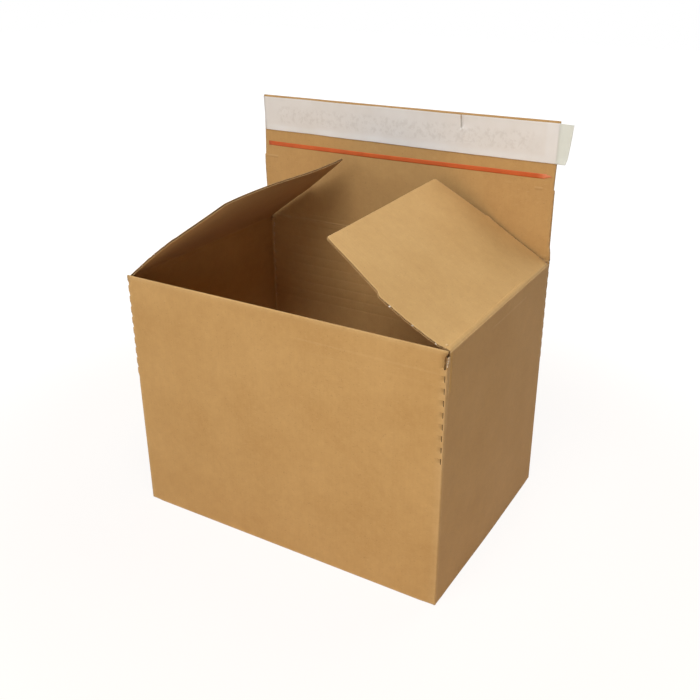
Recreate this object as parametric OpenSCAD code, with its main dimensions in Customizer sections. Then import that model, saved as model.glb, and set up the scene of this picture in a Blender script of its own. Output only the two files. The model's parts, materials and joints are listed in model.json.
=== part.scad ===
// Adjustable height shipping box of corrugated board, open, as it stands after
// setting up: the front flap is folded down inside, the two side flaps lean in
// over the mouth and the back flap, which carries the closing strips, stands up.
// The origin is on the floor under the middle of the box, the front faces -Y.

/* [Box] */
// Outside width, along the front
body_w = 306; // [270:1:400]
// Outside depth, front to back
body_d = 220; // [190:1:300]
// Height of the walls
body_h = 232; // [180:1:320]
// Thickness of the corrugated board
board_t = 1.6; // [1.4:0.1:3]

/* [Flaps] */
// Length of every flap from its crease
flap_len = 127; // [105:1:132]
// Distance from the crease at which the slots between the flaps begin
slot_start = 66.5; // [50:0.5:80]
// Width that the slots take off the back and front flaps
long_slot_step = 1; // [0.5:0.1:3]
// Width that the slots take off the side flaps
side_slot_step = 3; // [1:0.5:6]
// Taper of a side flap beyond the slot's start, at its front edge
side_taper_front = 7.2; // [2:0.2:20]
// Taper of a side flap beyond the slot's start, at its back edge
side_taper_back = 13.7; // [2:0.1:20]
// Lean of the back flap towards the front, in degrees
back_lean = 2.5; // [0:0.5:3]
// Rise of the left flap above flat, in degrees
left_rise = 37; // [5:1:85]
// Rise of the right flap above flat, in degrees
right_rise = 30; // [5:1:85]
// Angle by which the folded front flap springs off the front wall
front_spring = 4; // [2:0.5:8]

/* [Creases] */
// Opening along the crease of each moving flap
crease_gap = 0.4; // [0.2:0.1:1]
// Depth of the side creases below the front fold and the back crease
side_drop = 1.5; // [0:0.1:3]
// Extra width of the front fold over the board's thickness
ridge_extra = 0.4; // [0.2:0.1:1]
// Clearance from the front flap to the side walls, and to the side flaps above it
flap_gap = 0.4; // [0.3:0.1:1.5]
// Clearance from the side flaps' edges to the front fold and the back wall
side_flap_gap = 1.8; // [0.4:0.1:3]
// Radius of the rolled crease inside the back corners
corner_bead_r = 1; // [0.6:0.1:2]

/* [Height lines] */
// Spacing of the pressed height lines and of the cuts down the corners
line_pitch = 10; // [8:0.5:12]
// Number of height lines
line_count = 9; // [3:1:10]
// Depth of the first height line below the rim
line_first = 9.7; // [8:0.1:20]
// Width of a pressed height line
line_w = 1.2; // [0.6:0.1:2]
// Depth of a pressed height line
line_depth = 0.3; // [0.2:0.05:0.6]
// Depth of the first whole corner cut below the rim, at its middle
cut_first = 22.5; // [18:0.5:30]
// Length of a corner cut
cut_len = 5; // [3:0.5:7]
// Width of a corner cut
cut_w = 0.9; // [0.4:0.1:1.5]
// Length of the corner that has torn open at the rim
tear_len = 13; // [8:1:16]
// Width of the torn opening
tear_gap = 1.6; // [1:0.1:2.5]
// Height of the stubs of board left where a bridge has torn
stub_h = 0.6; // [0.3:0.1:1]

/* [Board edge] */
// Pitch of the flutes
flute_pitch = 3.5; // [3:0.1:6]
// Thickness of each facing of the board
facing_t = 0.3; // [0.2:0.05:0.4]
// Half thickness of the fluted paper, measured along the edge
flute_paper_t = 0.25; // [0.15:0.05:0.35]
// Depth to which the flutes are open in a free edge
flute_depth = 4; // [2:0.5:10]

/* [Bottom] */
// Length of the two inner bottom flaps, from the side walls
bottom_flap_len = 105; // [80:1:120]
// Distance between an inner bottom flap and the front and back walls
bottom_flap_side = 4; // [2:0.5:15]
// Length of the cut at each bottom corner
corner_cut = 10.5; // [5:0.5:20]
// Height of the cut at each bottom corner
corner_lift = 1; // [0.5:0.1:1.2]
// Width of the seam between the two locked outer bottom flaps
seam_w = 0.8; // [0.4:0.1:2]
// Depth of the seam and of the fold lines on the bottom
seam_depth = 0.8; // [0.4:0.1:1]
// Offset of each half of the seam from the middle of the bottom
seam_offset = 18; // [10:1:40]
// Width of the glued tab inside the back right corner
tab_w = 30; // [20:1:45]
// Thickness of the crushed tab
tab_t = 1.2; // [0.8:0.1:2]
// Distance of the tab's ends from the rim and from the floor
tab_end = 14; // [10:1:30]

/* [Closing strips] */
// Distance of the tear strip's middle from the back crease
strip_at = 78.6; // [70:0.2:84]
// Width of the tear strip
strip_w = 4.2; // [2:0.1:8]
// Distance of the tear strip's left end from the flap's edge
strip_left = 0.6; // [0:0.1:10]
// Distance of the tear strip's right end from the flap's edge
strip_right = 5; // [0:0.5:12]
// Thickness of the tear strip
strip_t = 0.2; // [0.1:0.05:0.4]
// Width of the adhesive band
glue_w = 24; // [15:1:28]
// Distance of the adhesive band's ends from the flap's edges
glue_end = 12; // [4:1:30]
// Thickness of the adhesive band
glue_t = 0.2; // [0.1:0.05:0.4]
// Width of the release liner
liner_w = 35; // [32:0.5:40]
// Distance of the liner from the flap's free edge
liner_edge = 1.4; // [0.5:0.1:4]
// Length by which the liner passes the flap's right edge
liner_over = 12; // [4:0.1:15]
// Slant of the liner's right end, from its top to its bottom corner
liner_slant = 3.4; // [0:0.2:6]
// Thickness of the release liner
liner_t = 0.2; // [0.1:0.05:0.4]
// Place of the slit in the liner, from the middle of the flap
slit_at = 62; // [20:1:100]
// Length of the slit
slit_len = 12; // [4:0.5:20]
// Width of the slit
slit_w = 0.5; // [0.3:0.1:1]

/* [Hidden] */
$fn = 48;

kraft = [0.72, 0.56, 0.34];
kraft_shade = [0.69, 0.53, 0.32];
strip_red = [0.78, 0.30, 0.12];
glue_grey = [0.78, 0.76, 0.72];
liner_white = [0.92, 0.91, 0.88];

cut_over = 1;
half_w = body_w / 2;
front_y = -body_d / 2;
back_y = body_d / 2;
side_h = body_h - side_drop;
half_gap = crease_gap / 2;
ridge_r = (board_t + ridge_extra) / 2;
// The folded front flap starts below the side flaps when they lie flat
shoulder = side_drop + board_t + flap_gap;
flap_half = half_w - board_t - flap_gap;
stub_count = floor((slot_start - cut_len) / line_pitch);
stub_start = (line_pitch - cut_len) / 2;
glue_at = flap_len - liner_edge - liner_w / 2;

// Points [distance from the crease, inset] down one edge of a flap: torn stubs
// along the crease's half, then the slot's step and a straight run to the tip.
function torn_edge(root, slope, step, taper) = concat(
    [[0, root]],
    [for (i = [0:stub_count - 1], k = [0:3])
        let(u = stub_start + i * line_pitch + (k > 1 ? cut_len : 0))
        [u, root + slope * u + (k == 1 || k == 2 ? stub_h : 0)]],
    [[slot_start, root + slope * slot_start],
     [slot_start + step, root + slope * slot_start + step],
     [flap_len, root + slope * slot_start + step + taper]]);

function reversed(list) = [for (i = [len(list) - 1:-1:0]) list[i]];

back_edge = torn_edge(0, 0, long_slot_step, 0);
front_edge = torn_edge(half_w - flap_half, 0, long_slot_step, 0);
side_front_edge = torn_edge(board_t + ridge_extra + side_flap_gap, 0, side_slot_step, side_taper_front);
side_back_edge = torn_edge(board_t + side_flap_gap, tan(back_lean), side_slot_step, side_taper_back);

// Straight bar of a given section in the YZ plane, from x0 to x1
module bar_x(x0, x1, section) {
    translate([x0, 0, 0]) rotate([90, 0, 90]) linear_extrude(x1 - x0) polygon(section);
}

// Straight bar of a given section in the XZ plane, from y0 to y1
module bar_y(y0, y1, section) {
    translate([0, y1, 0]) rotate([90, 0, 0]) linear_extrude(y1 - y0) polygon(section);
}

// Open flutes of one free edge: triangles between the facings, with the folded
// paper between them. They start at a, end at b and run flute_depth along +Y.
module open_flutes(a, b) {
    low = -board_t + facing_t;
    high = -facing_t;
    point = flute_paper_t * (high - low) / flute_pitch;
    half = flute_pitch / 2 - flute_paper_t;
    count = floor((b - a) / flute_pitch);
    start = a + (b - a - count * flute_pitch) / 2;
    translate([0, flute_depth, 0]) rotate([90, 0, 0]) linear_extrude(flute_depth + cut_over)
        for (i = [0:count - 1]) {
            mid = start + (i + 0.5) * flute_pitch;
            polygon([[mid - half, low], [mid + half, low], [mid, high - point]]);
            if (i < count - 1) translate([flute_pitch / 2, 0])
                polygon([[mid - half, high], [mid + half, high], [mid, low + point]]);
        }
}

// Wedge taken off a flap's root, so that it folds square to its wall. The crease
// is the X axis, and the flap lies towards -Y with its outer face at z = 0.
module root_bevel(x0, x1) {
    bar_x(x0, x1, [[cut_over - half_gap, cut_over], [-half_gap - board_t - cut_over, -board_t - cut_over],
        [cut_over, -board_t - cut_over]]);
}

// Flat flap that lies towards -Y from a crease on the X axis
module flap(edge_low, edge_high, total) {
    outline = concat([for (p = edge_low) [p[1], -p[0]]],
        reversed([for (p = edge_high) [total - p[1], -p[0]]]));
    last = len(edge_low) - 1;
    difference() {
        translate([0, 0, -board_t]) linear_extrude(board_t) polygon(outline);
        root_bevel(-cut_over, total + cut_over);
        translate([0, -flap_len, 0])
            open_flutes(edge_low[last][1] + flute_paper_t, total - edge_high[last][1] - flute_paper_t);
    }
}

// Frame of the standing back flap: X as the box, -Y along the flap from its crease
module on_back_flap() {
    translate([0, back_y, body_h]) rotate([back_lean - 90, 0, 0]) children();
}

// Cut straight through one vertical corner and its crease, along the diagonal
module corner_slot(sx, sy, low, high, width) {
    reach = board_t * sqrt(2) + corner_bead_r;
    translate([sx * half_w, sy * body_d / 2, low]) rotate([0, 0, atan2(-sy, -sx)])
        translate([-cut_over, -width / 2, 0]) cube([reach + 2 * cut_over, width, high - low]);
}

module corner_slots() {
    for (sx = [-1, 1], sy = [-1, 1]) {
        torn = sx > 0 && sy < 0;
        corner_slot(sx, sy, body_h - (torn ? tear_len : cut_len), body_h + cut_over,
            torn ? tear_gap : cut_w);
        for (i = [torn ? 0 : -1:line_count - 2]) {
            mid = body_h - cut_first - i * line_pitch;
            corner_slot(sx, sy, mid - cut_len / 2, mid + cut_len / 2, cut_w);
        }
    }
}

// Height lines pressed into the inside of all four walls
module height_lines() {
    for (i = [0:line_count - 1])
        translate([-half_w + board_t - line_depth, front_y + board_t - line_depth,
            body_h - line_first - i * line_pitch - line_w / 2])
            cube([body_w - 2 * (board_t - line_depth), body_d - 2 * (board_t - line_depth), line_w]);
}

module walls() {
    translate([-half_w, front_y, 0]) cube([body_w, board_t, body_h - ridge_r]);
    translate([-half_w, front_y + ridge_r, body_h - ridge_r]) rotate([0, 90, 0])
        cylinder(h = body_w, r = ridge_r);
    bar_x(-half_w, half_w, [[back_y, 0], [back_y, body_h - half_gap],
        [back_y - board_t, body_h - half_gap - board_t], [back_y - board_t, 0]]);
    for (sx = [-1, 1])
        bar_y(front_y + board_t / 2, back_y - board_t / 2, [[sx * half_w, 0],
            [sx * half_w, side_h - half_gap], [sx * (half_w - board_t), side_h - half_gap - board_t],
            [sx * (half_w - board_t), 0]]);
    for (sx = [-1, 1])
        translate([sx * (half_w - board_t), back_y - board_t, board_t])
            cylinder(h = side_h - shoulder - 2 * board_t, r = corner_bead_r);
}

// The front wall's flap: it goes over the fold and hangs a little off the wall
module folded_front_flap() {
    root_y = front_y + board_t;
    hang = flap_len - shoulder;
    lead = 2 * board_t;
    bar_x(-flap_half, flap_half, [[root_y - ridge_extra, body_h - ridge_r],
        [root_y + ridge_extra, body_h - ridge_r], [root_y + ridge_extra, body_h - shoulder],
        [root_y - ridge_extra, body_h - shoulder]]);
    translate([0, root_y, body_h - shoulder]) rotate([front_spring, 0, 0]) {
        bar_x(-flap_half, flap_half, [[-ridge_extra, 0], [ridge_extra, 0], [board_t, ridge_extra - board_t],
            [board_t, -lead], [0, -lead], [0, -board_t], [-ridge_extra, -board_t]]);
        translate([0, board_t, shoulder]) rotate([90, 0, 0]) linear_extrude(board_t)
            intersection() {
                polygon(concat([for (p = front_edge) [p[1] - half_w, -p[0]]],
                    reversed([for (p = front_edge) [half_w - p[1], -p[0]]])));
                translate([-half_w, -shoulder - hang]) square([body_w, hang - board_t]);
            }
    }
}

// Glued, self-locking bottom: two inner flaps on two locked outer flaps
module bottom() {
    inner_d = body_d - 2 * (board_t + bottom_flap_side);
    translate([-half_w, front_y, 0]) cube([body_w, body_d, board_t]);
    for (sx = [-1, 1])
        translate([sx * (half_w - bottom_flap_len / 2) - bottom_flap_len / 2, -inner_d / 2, board_t / 2])
            cube([bottom_flap_len, inner_d, board_t * 1.5]);
}

// Seam, fold lines and corner cuts, seen from below
module bottom_cuts() {
    arm = body_d / 2 - board_t;
    translate([0, 0, -cut_over]) linear_extrude(seam_depth + cut_over) {
        for (s = [-1, 1]) {
            translate([s > 0 ? 0 : -half_w + corner_cut, s * seam_offset - seam_w / 2])
                square([half_w - corner_cut, seam_w]);
            translate([s * half_w, -s * body_d / 2]) rotate(s > 0 ? 135 : -45)
                translate([corner_cut * sqrt(2), -seam_w / 2])
                    square([(arm - seam_offset) * sqrt(2) - corner_cut, seam_w]);
        }
        translate([-seam_w / 2, -seam_offset]) square([seam_w, 2 * seam_offset]);
    }
    for (sx = [-1, 1], sy = [-1, 1])
        translate([sx * (half_w - corner_cut / 2), sy * (body_d / 2 - corner_cut / 2),
            (corner_lift - cut_over) / 2])
            cube([corner_cut + cut_over, corner_cut + cut_over, corner_lift + cut_over], center = true);
}

module glue_tab() {
    low = tab_end;
    high = body_h - tab_end;
    translate([half_w - board_t - tab_t, 0, 0]) rotate([90, 0, 90]) linear_extrude(tab_t + board_t / 2)
        polygon([[back_y - board_t / 2, low - board_t], [back_y - board_t / 2, high + board_t],
            [back_y - board_t - tab_w, high - board_t], [back_y - board_t - tab_w, low + board_t]]);
}

module box_body() {
    color(kraft) {
        difference() {
            union() {
                difference() {
                    walls();
                    height_lines();
                }
                bottom();
                glue_tab();
            }
            corner_slots();
            bottom_cuts();
        }
        folded_front_flap();
    }
}

// A side flap, folded up from flat by its rise, on the right hand side
module side_flap(rise) {
    translate([half_w, front_y, side_h]) rotate([0, rise, 0]) rotate([0, 0, -90]) mirror([1, 0, 0])
        flap(side_front_edge, side_back_edge, body_d);
}

module left_flap() {
    color(kraft_shade) mirror([1, 0, 0]) side_flap(left_rise);
}

module right_flap() {
    color(kraft_shade) side_flap(right_rise);
}

module back_flap() {
    color(kraft_shade) on_back_flap() translate([-half_w, 0, 0]) flap(back_edge, back_edge, body_w);
}

module tear_strip() {
    left = -half_w + long_slot_step + strip_left;
    right = half_w - long_slot_step - strip_right;
    color(strip_red) on_back_flap() translate([left, -strip_at - strip_w / 2, -board_t - strip_t])
        cube([right - left, strip_w, strip_t]);
}

module adhesive_strip() {
    reach = half_w - long_slot_step - glue_end;
    color(glue_grey) on_back_flap() translate([-reach, -glue_at - glue_w / 2, -board_t - glue_t])
        cube([2 * reach, glue_w, glue_t]);
}

module release_liner() {
    left = -half_w + long_slot_step;
    right = half_w - long_slot_step + liner_over;
    top = liner_edge - flap_len;
    color(liner_white) on_back_flap() translate([0, 0, -board_t - glue_t - liner_t]) linear_extrude(liner_t)
        difference() {
            polygon([[left, top], [left, top + liner_w], [right - liner_slant, top + liner_w],
                [right, top]]);
            translate([slit_at, top - cut_over]) square([slit_w, slit_len + cut_over]);
        }
}

box_body();
left_flap();
right_flap();
back_flap();
tear_strip();
adhesive_strip();
release_liner();
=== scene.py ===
# Adjustable height shipping box, open: the looks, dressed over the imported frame.
# Lengths in the dictionaries are millimetres, and every finished mesh is in metres.
import json
import math
import bpy
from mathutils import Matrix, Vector, noise

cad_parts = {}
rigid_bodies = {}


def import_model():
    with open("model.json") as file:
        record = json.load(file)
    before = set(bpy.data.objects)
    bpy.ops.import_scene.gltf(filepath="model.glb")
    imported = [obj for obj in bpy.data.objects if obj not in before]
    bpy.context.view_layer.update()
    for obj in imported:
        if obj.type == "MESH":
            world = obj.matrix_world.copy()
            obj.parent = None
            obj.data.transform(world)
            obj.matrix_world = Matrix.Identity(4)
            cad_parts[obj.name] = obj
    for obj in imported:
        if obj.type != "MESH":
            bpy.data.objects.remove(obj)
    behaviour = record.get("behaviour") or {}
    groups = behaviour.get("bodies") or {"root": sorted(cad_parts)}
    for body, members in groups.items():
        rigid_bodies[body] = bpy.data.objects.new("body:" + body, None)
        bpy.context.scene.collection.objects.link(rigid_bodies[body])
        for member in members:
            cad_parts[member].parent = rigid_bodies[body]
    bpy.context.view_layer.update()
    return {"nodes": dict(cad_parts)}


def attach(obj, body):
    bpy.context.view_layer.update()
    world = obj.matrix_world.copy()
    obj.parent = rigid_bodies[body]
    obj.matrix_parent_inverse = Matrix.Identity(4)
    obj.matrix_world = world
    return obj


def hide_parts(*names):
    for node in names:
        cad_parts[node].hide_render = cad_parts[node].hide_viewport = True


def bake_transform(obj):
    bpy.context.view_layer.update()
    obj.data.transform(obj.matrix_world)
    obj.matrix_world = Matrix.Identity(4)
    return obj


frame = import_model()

mm = 0.001
print("frame loaded")


# Camera, at the photograph's viewing angle
view = {"place": (0.37287, -0.62320, 0.49700), "yaw": -30.380, "pitch": 25.436, "lens": 44.600}

cameraData = bpy.data.cameras.new("camera")
cameraData.sensor_width = 36
cameraData.lens = view["lens"]
cameraData.clip_start = 0.01
camera = bpy.data.objects.new("camera", cameraData)
camera.location = view["place"]
camera.rotation_euler = (math.radians(90 - view["pitch"]), 0, math.radians(-view["yaw"]))
bpy.context.scene.collection.objects.link(camera)
bpy.context.scene.camera = camera
print("camera placed")


# Shader and geometry maths on sockets
class Wire:
    def __init__(self, graph, socket):
        self.graph, self.socket = graph, socket

    def maths(self, operation, first, second=None):
        values = {0: first} if second is None else {0: first, 1: second}
        return self.graph.add("ShaderNodeMath", {"operation": operation}, values)

    def __add__(self, other):
        return self.maths("ADD", self, other)

    def __radd__(self, other):
        return self.maths("ADD", other, self)

    def __sub__(self, other):
        return self.maths("SUBTRACT", self, other)

    def __rsub__(self, other):
        return self.maths("SUBTRACT", other, self)

    def __mul__(self, other):
        return self.maths("MULTIPLY", self, other)

    def __rmul__(self, other):
        return self.maths("MULTIPLY", other, self)

    def __truediv__(self, other):
        return self.maths("DIVIDE", self, other)

    def __abs__(self):
        return self.maths("ABSOLUTE", self)


class Graph:
    def __init__(self, tree):
        self.tree = tree

    # Adds one node: its settings first, then the values or links of its sockets
    def add(self, kind, settings=None, sockets=None, result=0):
        node = self.tree.nodes.new(kind)
        for key, value in (settings or {}).items():
            if key == "stops":
                ramp = node.color_ramp
                while len(ramp.elements) < len(value):
                    ramp.elements.new(0.5)
                for element, (place, tone) in zip(ramp.elements, value):
                    element.position = place
                    element.color = (*tone, 1)
            else:
                setattr(node, key, value)
        for key, value in (sockets or {}).items():
            if isinstance(key, int):
                socket = node.inputs[key]
            else:
                socket = [s for s in node.inputs if s.name == key and s.enabled][0]
            if isinstance(value, Wire):
                self.tree.links.new(value.socket, socket)
            elif value is not None:
                socket.default_value = value
        if not node.outputs:
            return None
        if isinstance(result, int):
            return Wire(self, node.outputs[result])
        return Wire(self, [s for s in node.outputs if s.name == result and s.enabled][0])

    def mixColour(self, factor, first, second, how="MIX"):
        tones = [tone if isinstance(tone, Wire) else (*tone, 1) for tone in (first, second)]
        return self.add("ShaderNodeMix", {"data_type": "RGBA", "blend_type": how, "clamp_factor": True},
                        {"Factor": factor, "A": tones[0], "B": tones[1]}, "Result")

    def fade(self, value, low, high):
        return self.add("ShaderNodeMapRange", {"interpolation_type": "SMOOTHSTEP"},
                        {"Value": value, "From Min": low, "From Max": high, "To Min": 0.0, "To Max": 1.0})

    def grain(self, where, scale, detail=2.0, roughness=0.5):
        return self.add("ShaderNodeTexNoise", {"noise_dimensions": "3D"},
                        {"Vector": where, "Scale": scale, "Detail": detail, "Roughness": roughness})


def srgb(red, green, blue):
    return tuple((c / 255 / 12.92) if c / 255 <= 0.04045 else ((c / 255 + 0.055) / 1.055) ** 2.4
                 for c in (red, green, blue))


def newMaterial(name):
    material = bpy.data.materials.new(name)
    material.use_nodes = True
    material.node_tree.nodes.clear()
    return material, Graph(material.node_tree)


def finishMaterial(graph, sockets, fixed=None):
    values = {**(fixed or {}), **sockets}
    surface = graph.add("ShaderNodeBsdfPrincipled", None, values)
    graph.add("ShaderNodeOutputMaterial", None, {"Surface": surface})


# Kraft board: liner with soft clouds, fibres, flecks, flutes showing through, folds paler from wear and along the
# corner bends a painted highlight, and dents with painted highlight and shade lines
kraft = {
    "outside": srgb(209, 169, 109), "outsideDark": srgb(192, 150, 90), "inside": srgb(208, 167, 108),
    "insideDark": srgb(192, 149, 92), "worn": srgb(226, 196, 148), "fleckAndDentShade": srgb(128, 92, 54),
    "fluteShow": 0.1, "fibreBump": 0.22, "flutePitch": 3.5,
    "outsideScores": [(212.6, 180, 300, 0.1), (217.4, 400, 470, 0.2), (202.6, 190, 300, 0.04)],
}


def kraftMaterial(name, tone, darkTone, scores=(), marks=()):
    material, graph = newMaterial(name)
    where = graph.add("ShaderNodeTexCoord", None, None, "Object")
    flat = graph.add("ShaderNodeUVMap", {"uv_map": "board"}, None, "UV")
    worn = graph.add("ShaderNodeAttribute", {"attribute_name": "worn"}, None, "Fac")
    across = graph.add("ShaderNodeSeparateXYZ", None, {"Vector": flat}, "X")
    up = graph.add("ShaderNodeSeparateXYZ", None, {"Vector": flat}, "Y")
    stretched = graph.add("ShaderNodeMapping", {"vector_type": "POINT"},
                          {"Vector": flat, "Scale": (260.0, 1500.0, 1.0)})
    clouds = graph.grain(where, 22.0, 3.0, 0.55)
    patches = graph.grain(where, 160.0, 3.0, 0.6)
    fine = graph.grain(where, 1300.0, 2.0, 0.6)
    fibres = graph.grain(stretched, 1.0, 3.0, 0.65)
    flecks = graph.fade(graph.grain(where, 720.0, 1.0, 0.4), 0.69, 0.76)
    pale = graph.fade(graph.grain(stretched, 0.8, 1.0, 0.3), 0.66, 0.78)
    wave = graph.add("ShaderNodeMath", {"operation": "COSINE"},
                     {0: across * (2 * math.pi / (kraft["flutePitch"] * mm))})
    mixture = 0.5 + (clouds - 0.5) * 1.1 + (patches - 0.5) * 0.8 + (fibres - 0.5) * 0.55 \
        + (fine - 0.5) * 0.45 + wave * (kraft["fluteShow"] * 0.25)
    colour = graph.mixColour(mixture, darkTone, tone)
    colour = graph.mixColour(flecks * 0.22, colour, kraft["fleckAndDentShade"])
    colour = graph.mixColour(pale * 0.2, colour, kraft["worn"])
    height = fibres * 0.5 + fine * 0.35 + patches * 0.3 + wave * kraft["fluteShow"]
    # Pressed lines: height above the floor, from and to along the board, strength
    for level, low, high, strength in scores:
        line = 1 - graph.fade(abs(up - level * mm), 0.0003, 0.0012)
        line = line * graph.fade(across, (low - 14) * mm, low * mm)
        line = line * (1 - graph.fade(across, (high - 3) * mm, high * mm))
        colour = graph.mixColour(line * strength * (0.5 + patches), colour, kraft["worn"])
        height = height + line * strength
    # Short dents: place along the board, height, half length, strength. Each dent is a pale painted highlight line
    # with a dark painted shade line beside it, over a small bump
    for middle, level, reach, strength in marks:
        dentAndHighlight = (1 - graph.fade(abs(up - level * mm), 0.0003, 0.0011)) \
            * (1 - graph.fade(abs(across - middle * mm), (reach - 2) * mm, reach * mm))
        # under: the dark painted shade line beside the dent, in the fleck colour
        under = (1 - graph.fade(abs(up - (level - 1.5) * mm), 0.0004, 0.0014)) \
            * (1 - graph.fade(abs(across - middle * mm), (reach - 2) * mm, reach * mm))
        colour = graph.mixColour(dentAndHighlight * strength, colour, kraft["worn"])
        colour = graph.mixColour(under * strength * 0.5, colour, kraft["fleckAndDentShade"])
        height = height + dentAndHighlight * 0.8 - under * 0.6
    # Paler where rubbed, and along the corner bends a painted highlight
    rubAndHighlight = worn * (0.35 + 1.2 * (patches - 0.25))
    colour = graph.mixColour(rubAndHighlight * 0.62, colour, kraft["worn"])
    bump = graph.add("ShaderNodeBump", None, {"Strength": kraft["fibreBump"], "Distance": 0.00035, "Height": height})
    rough = 0.72 + (patches - 0.5) * 0.25
    finishMaterial(graph, {"Base Color": colour, "Roughness": rough, "Normal": bump},
                   {"Specular IOR Level": 0.28, "Sheen Weight": 0.06, "Sheen Roughness": 0.6})
    return material


# Cut edge of solid pieces: two facings with the wave of the fluted paper between them, and painted shade, dark brown,
# in the hollows between
def edgeMaterial(name):
    material, graph = newMaterial(name)
    where = graph.add("ShaderNodeTexCoord", None, None, "Object")
    flat = graph.add("ShaderNodeUVMap", {"uv_map": "board"}, None, "UV")
    across = graph.add("ShaderNodeSeparateXYZ", None, {"Vector": flat}, "X")
    depth = graph.add("ShaderNodeAttribute", {"attribute_name": "through"}, None, "Fac")
    wave = graph.add("ShaderNodeMath", {"operation": "COSINE"},
                     {0: across * (2 * math.pi / (kraft["flutePitch"] * mm))})
    paper = 1 - graph.fade(abs(depth - 0.5 - wave * 0.34), 0.05, 0.12)
    skin = graph.fade(abs(depth - 0.5), 0.33, 0.38)
    solid = graph.add("ShaderNodeMath", {"operation": "MAXIMUM"}, {0: paper, 1: skin})
    ragged = graph.grain(where, 900.0, 3.0, 0.6)
    # the dark brown where there is no paper is painted shade in the flute hollows
    colour = graph.mixColour(solid * (0.6 + 0.6 * ragged), srgb(92, 62, 34), srgb(206, 170, 118))
    bump = graph.add("ShaderNodeBump", None, {"Strength": 0.7, "Distance": 0.0006, "Height": solid + ragged * 0.5})
    finishMaterial(graph, {"Base Color": colour, "Roughness": 0.75 + ragged * 0.2, "Normal": bump},
                   {"Specular IOR Level": 0.2})
    return material


# Raw paper: cut facing edges, the fluted paper and torn fibres
def paperMaterial(name, tone, darkTone, scale):
    material, graph = newMaterial(name)
    where = graph.add("ShaderNodeTexCoord", None, None, "Object")
    coarse = graph.grain(where, scale, 3.0, 0.6)
    fine = graph.grain(where, scale * 5, 2.0, 0.6)
    colour = graph.mixColour(0.5 + (coarse - 0.5) * 1.4 + (fine - 0.5) * 0.9, darkTone, tone)
    bump = graph.add("ShaderNodeBump", None, {"Strength": 0.5, "Distance": 0.0003, "Height": coarse + fine * 0.5})
    finishMaterial(graph, {"Base Color": colour, "Roughness": 0.78 + fine * 0.15, "Normal": bump},
                   {"Specular IOR Level": 0.2, "Sheen Weight": 0.1, "Sheen Roughness": 0.5})
    return material


outsideKraft = kraftMaterial("outsideKraft", kraft["outside"], kraft["outsideDark"], kraft["outsideScores"])
flapKraft = kraftMaterial("flapKraft", kraft["outside"], kraft["outsideDark"], (), [(9, 6, 2, 0.9)])
insideKraft = kraftMaterial("insideKraft", kraft["inside"], kraft["insideDark"])
lidKraft = kraftMaterial("lidKraft", kraft["inside"], kraft["insideDark"], (),
                         [(6, 66.3, 8, 0.3), (290.5, 68.5, 4.5, 0.25), (262, 70, 4, 0.1)])
boardEdge = edgeMaterial("boardEdge")
cutPaper = paperMaterial("cutPaper", srgb(222, 190, 140), srgb(176, 140, 92), 420.0)
flutePaper = paperMaterial("flutePaper", srgb(190, 150, 98), srgb(150, 112, 68), 300.0)
tornPaper = paperMaterial("tornPaper", srgb(250, 244, 232), srgb(214, 196, 166), 700.0)
print("board materials made")


# Board sheets from two grids of points, [column][row], with open cells left out
def gridShell(name, near, far, solid, flat, materials, worn=None, wrap=False, flip=False):
    columns, rows = len(near), len(near[0])
    cells = columns if wrap else columns - 1
    points, through, rubbed, indexOf = [], [], [], {}

    def corner(layer, i, j):
        key = (layer, i % columns, j)
        if key not in indexOf:
            indexOf[key] = len(points)
            points.append((far if layer else near)[i % columns][j])
            through.append(float(layer))
            rubbed.append(worn(i % columns, j, layer) if worn else 0.0)
        return indexOf[key]

    faces, faceFlat, faceKind = [], [], []

    def put(kind, *corners):
        order = corners[::-1] if flip else corners
        faces.append([corner(*c) for c in order])
        faceFlat.append([flat(c[1], c[2]) for c in order])
        faceKind.append(kind)

    def isSolid(i, j):
        if j < 0 or j >= rows - 1 or (not wrap and (i < 0 or i >= cells)):
            return False
        return solid(i % columns, j)

    for i in range(cells):
        for j in range(rows - 1):
            if not isSolid(i, j):
                continue
            k, m = i + 1, j + 1
            put(0, (0, i, j), (0, k, j), (0, k, m), (0, i, m))
            put(1, (1, i, m), (1, k, m), (1, k, j), (1, i, j))
            if not isSolid(i - 1, j):
                put(2, (0, i, j), (0, i, m), (1, i, m), (1, i, j))
            if not isSolid(k, j):
                put(2, (0, k, m), (0, k, j), (1, k, j), (1, k, m))
            if not isSolid(i, j - 1):
                put(2, (0, k, j), (0, i, j), (1, i, j), (1, k, j))
            if not isSolid(i, m):
                put(2, (0, i, m), (0, k, m), (1, k, m), (1, i, m))
    mesh = bpy.data.meshes.new(name)
    mesh.from_pydata([tuple(c * mm for c in p) for p in points], [], faces)
    layer = mesh.uv_layers.new(name="board")
    n = 0
    for values in faceFlat:
        for value in values:
            layer.data[n].uv = (value[0] * mm, value[1] * mm)
            n += 1
    mesh.attributes.new("through", "FLOAT", "POINT").data.foreach_set("value", through)
    mesh.attributes.new("worn", "FLOAT", "POINT").data.foreach_set("value", rubbed)
    for material in materials:
        mesh.materials.append(material)
    for face, kind in zip(mesh.polygons, faceKind):
        face.material_index = min(kind, len(materials) - 1)
        face.use_smooth = kind < 2
    mesh.update()
    thing = bpy.data.objects.new(name, mesh)
    bpy.context.scene.collection.objects.link(thing)
    return thing


def smooth(value, low, high):
    t = min(1.0, max(0.0, (value - low) / (high - low)))
    return t * t * (3 - 2 * t)


def between(value, table):
    if value <= table[0][0]:
        return table[0][1]
    for (a, x), (b, y) in zip(table, table[1:]):
        if value <= b:
            return x + (y - x) * (value - a) / (b - a)
    return table[-1][1]


def wobble(x, y, scale, seed):
    return noise.noise(Vector((x * scale, y * scale, seed * 7.31)))


def settle(thing, body, slotName, *nodes):
    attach(thing, body)
    if nodes:
        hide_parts(*nodes)
    return thing


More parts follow.
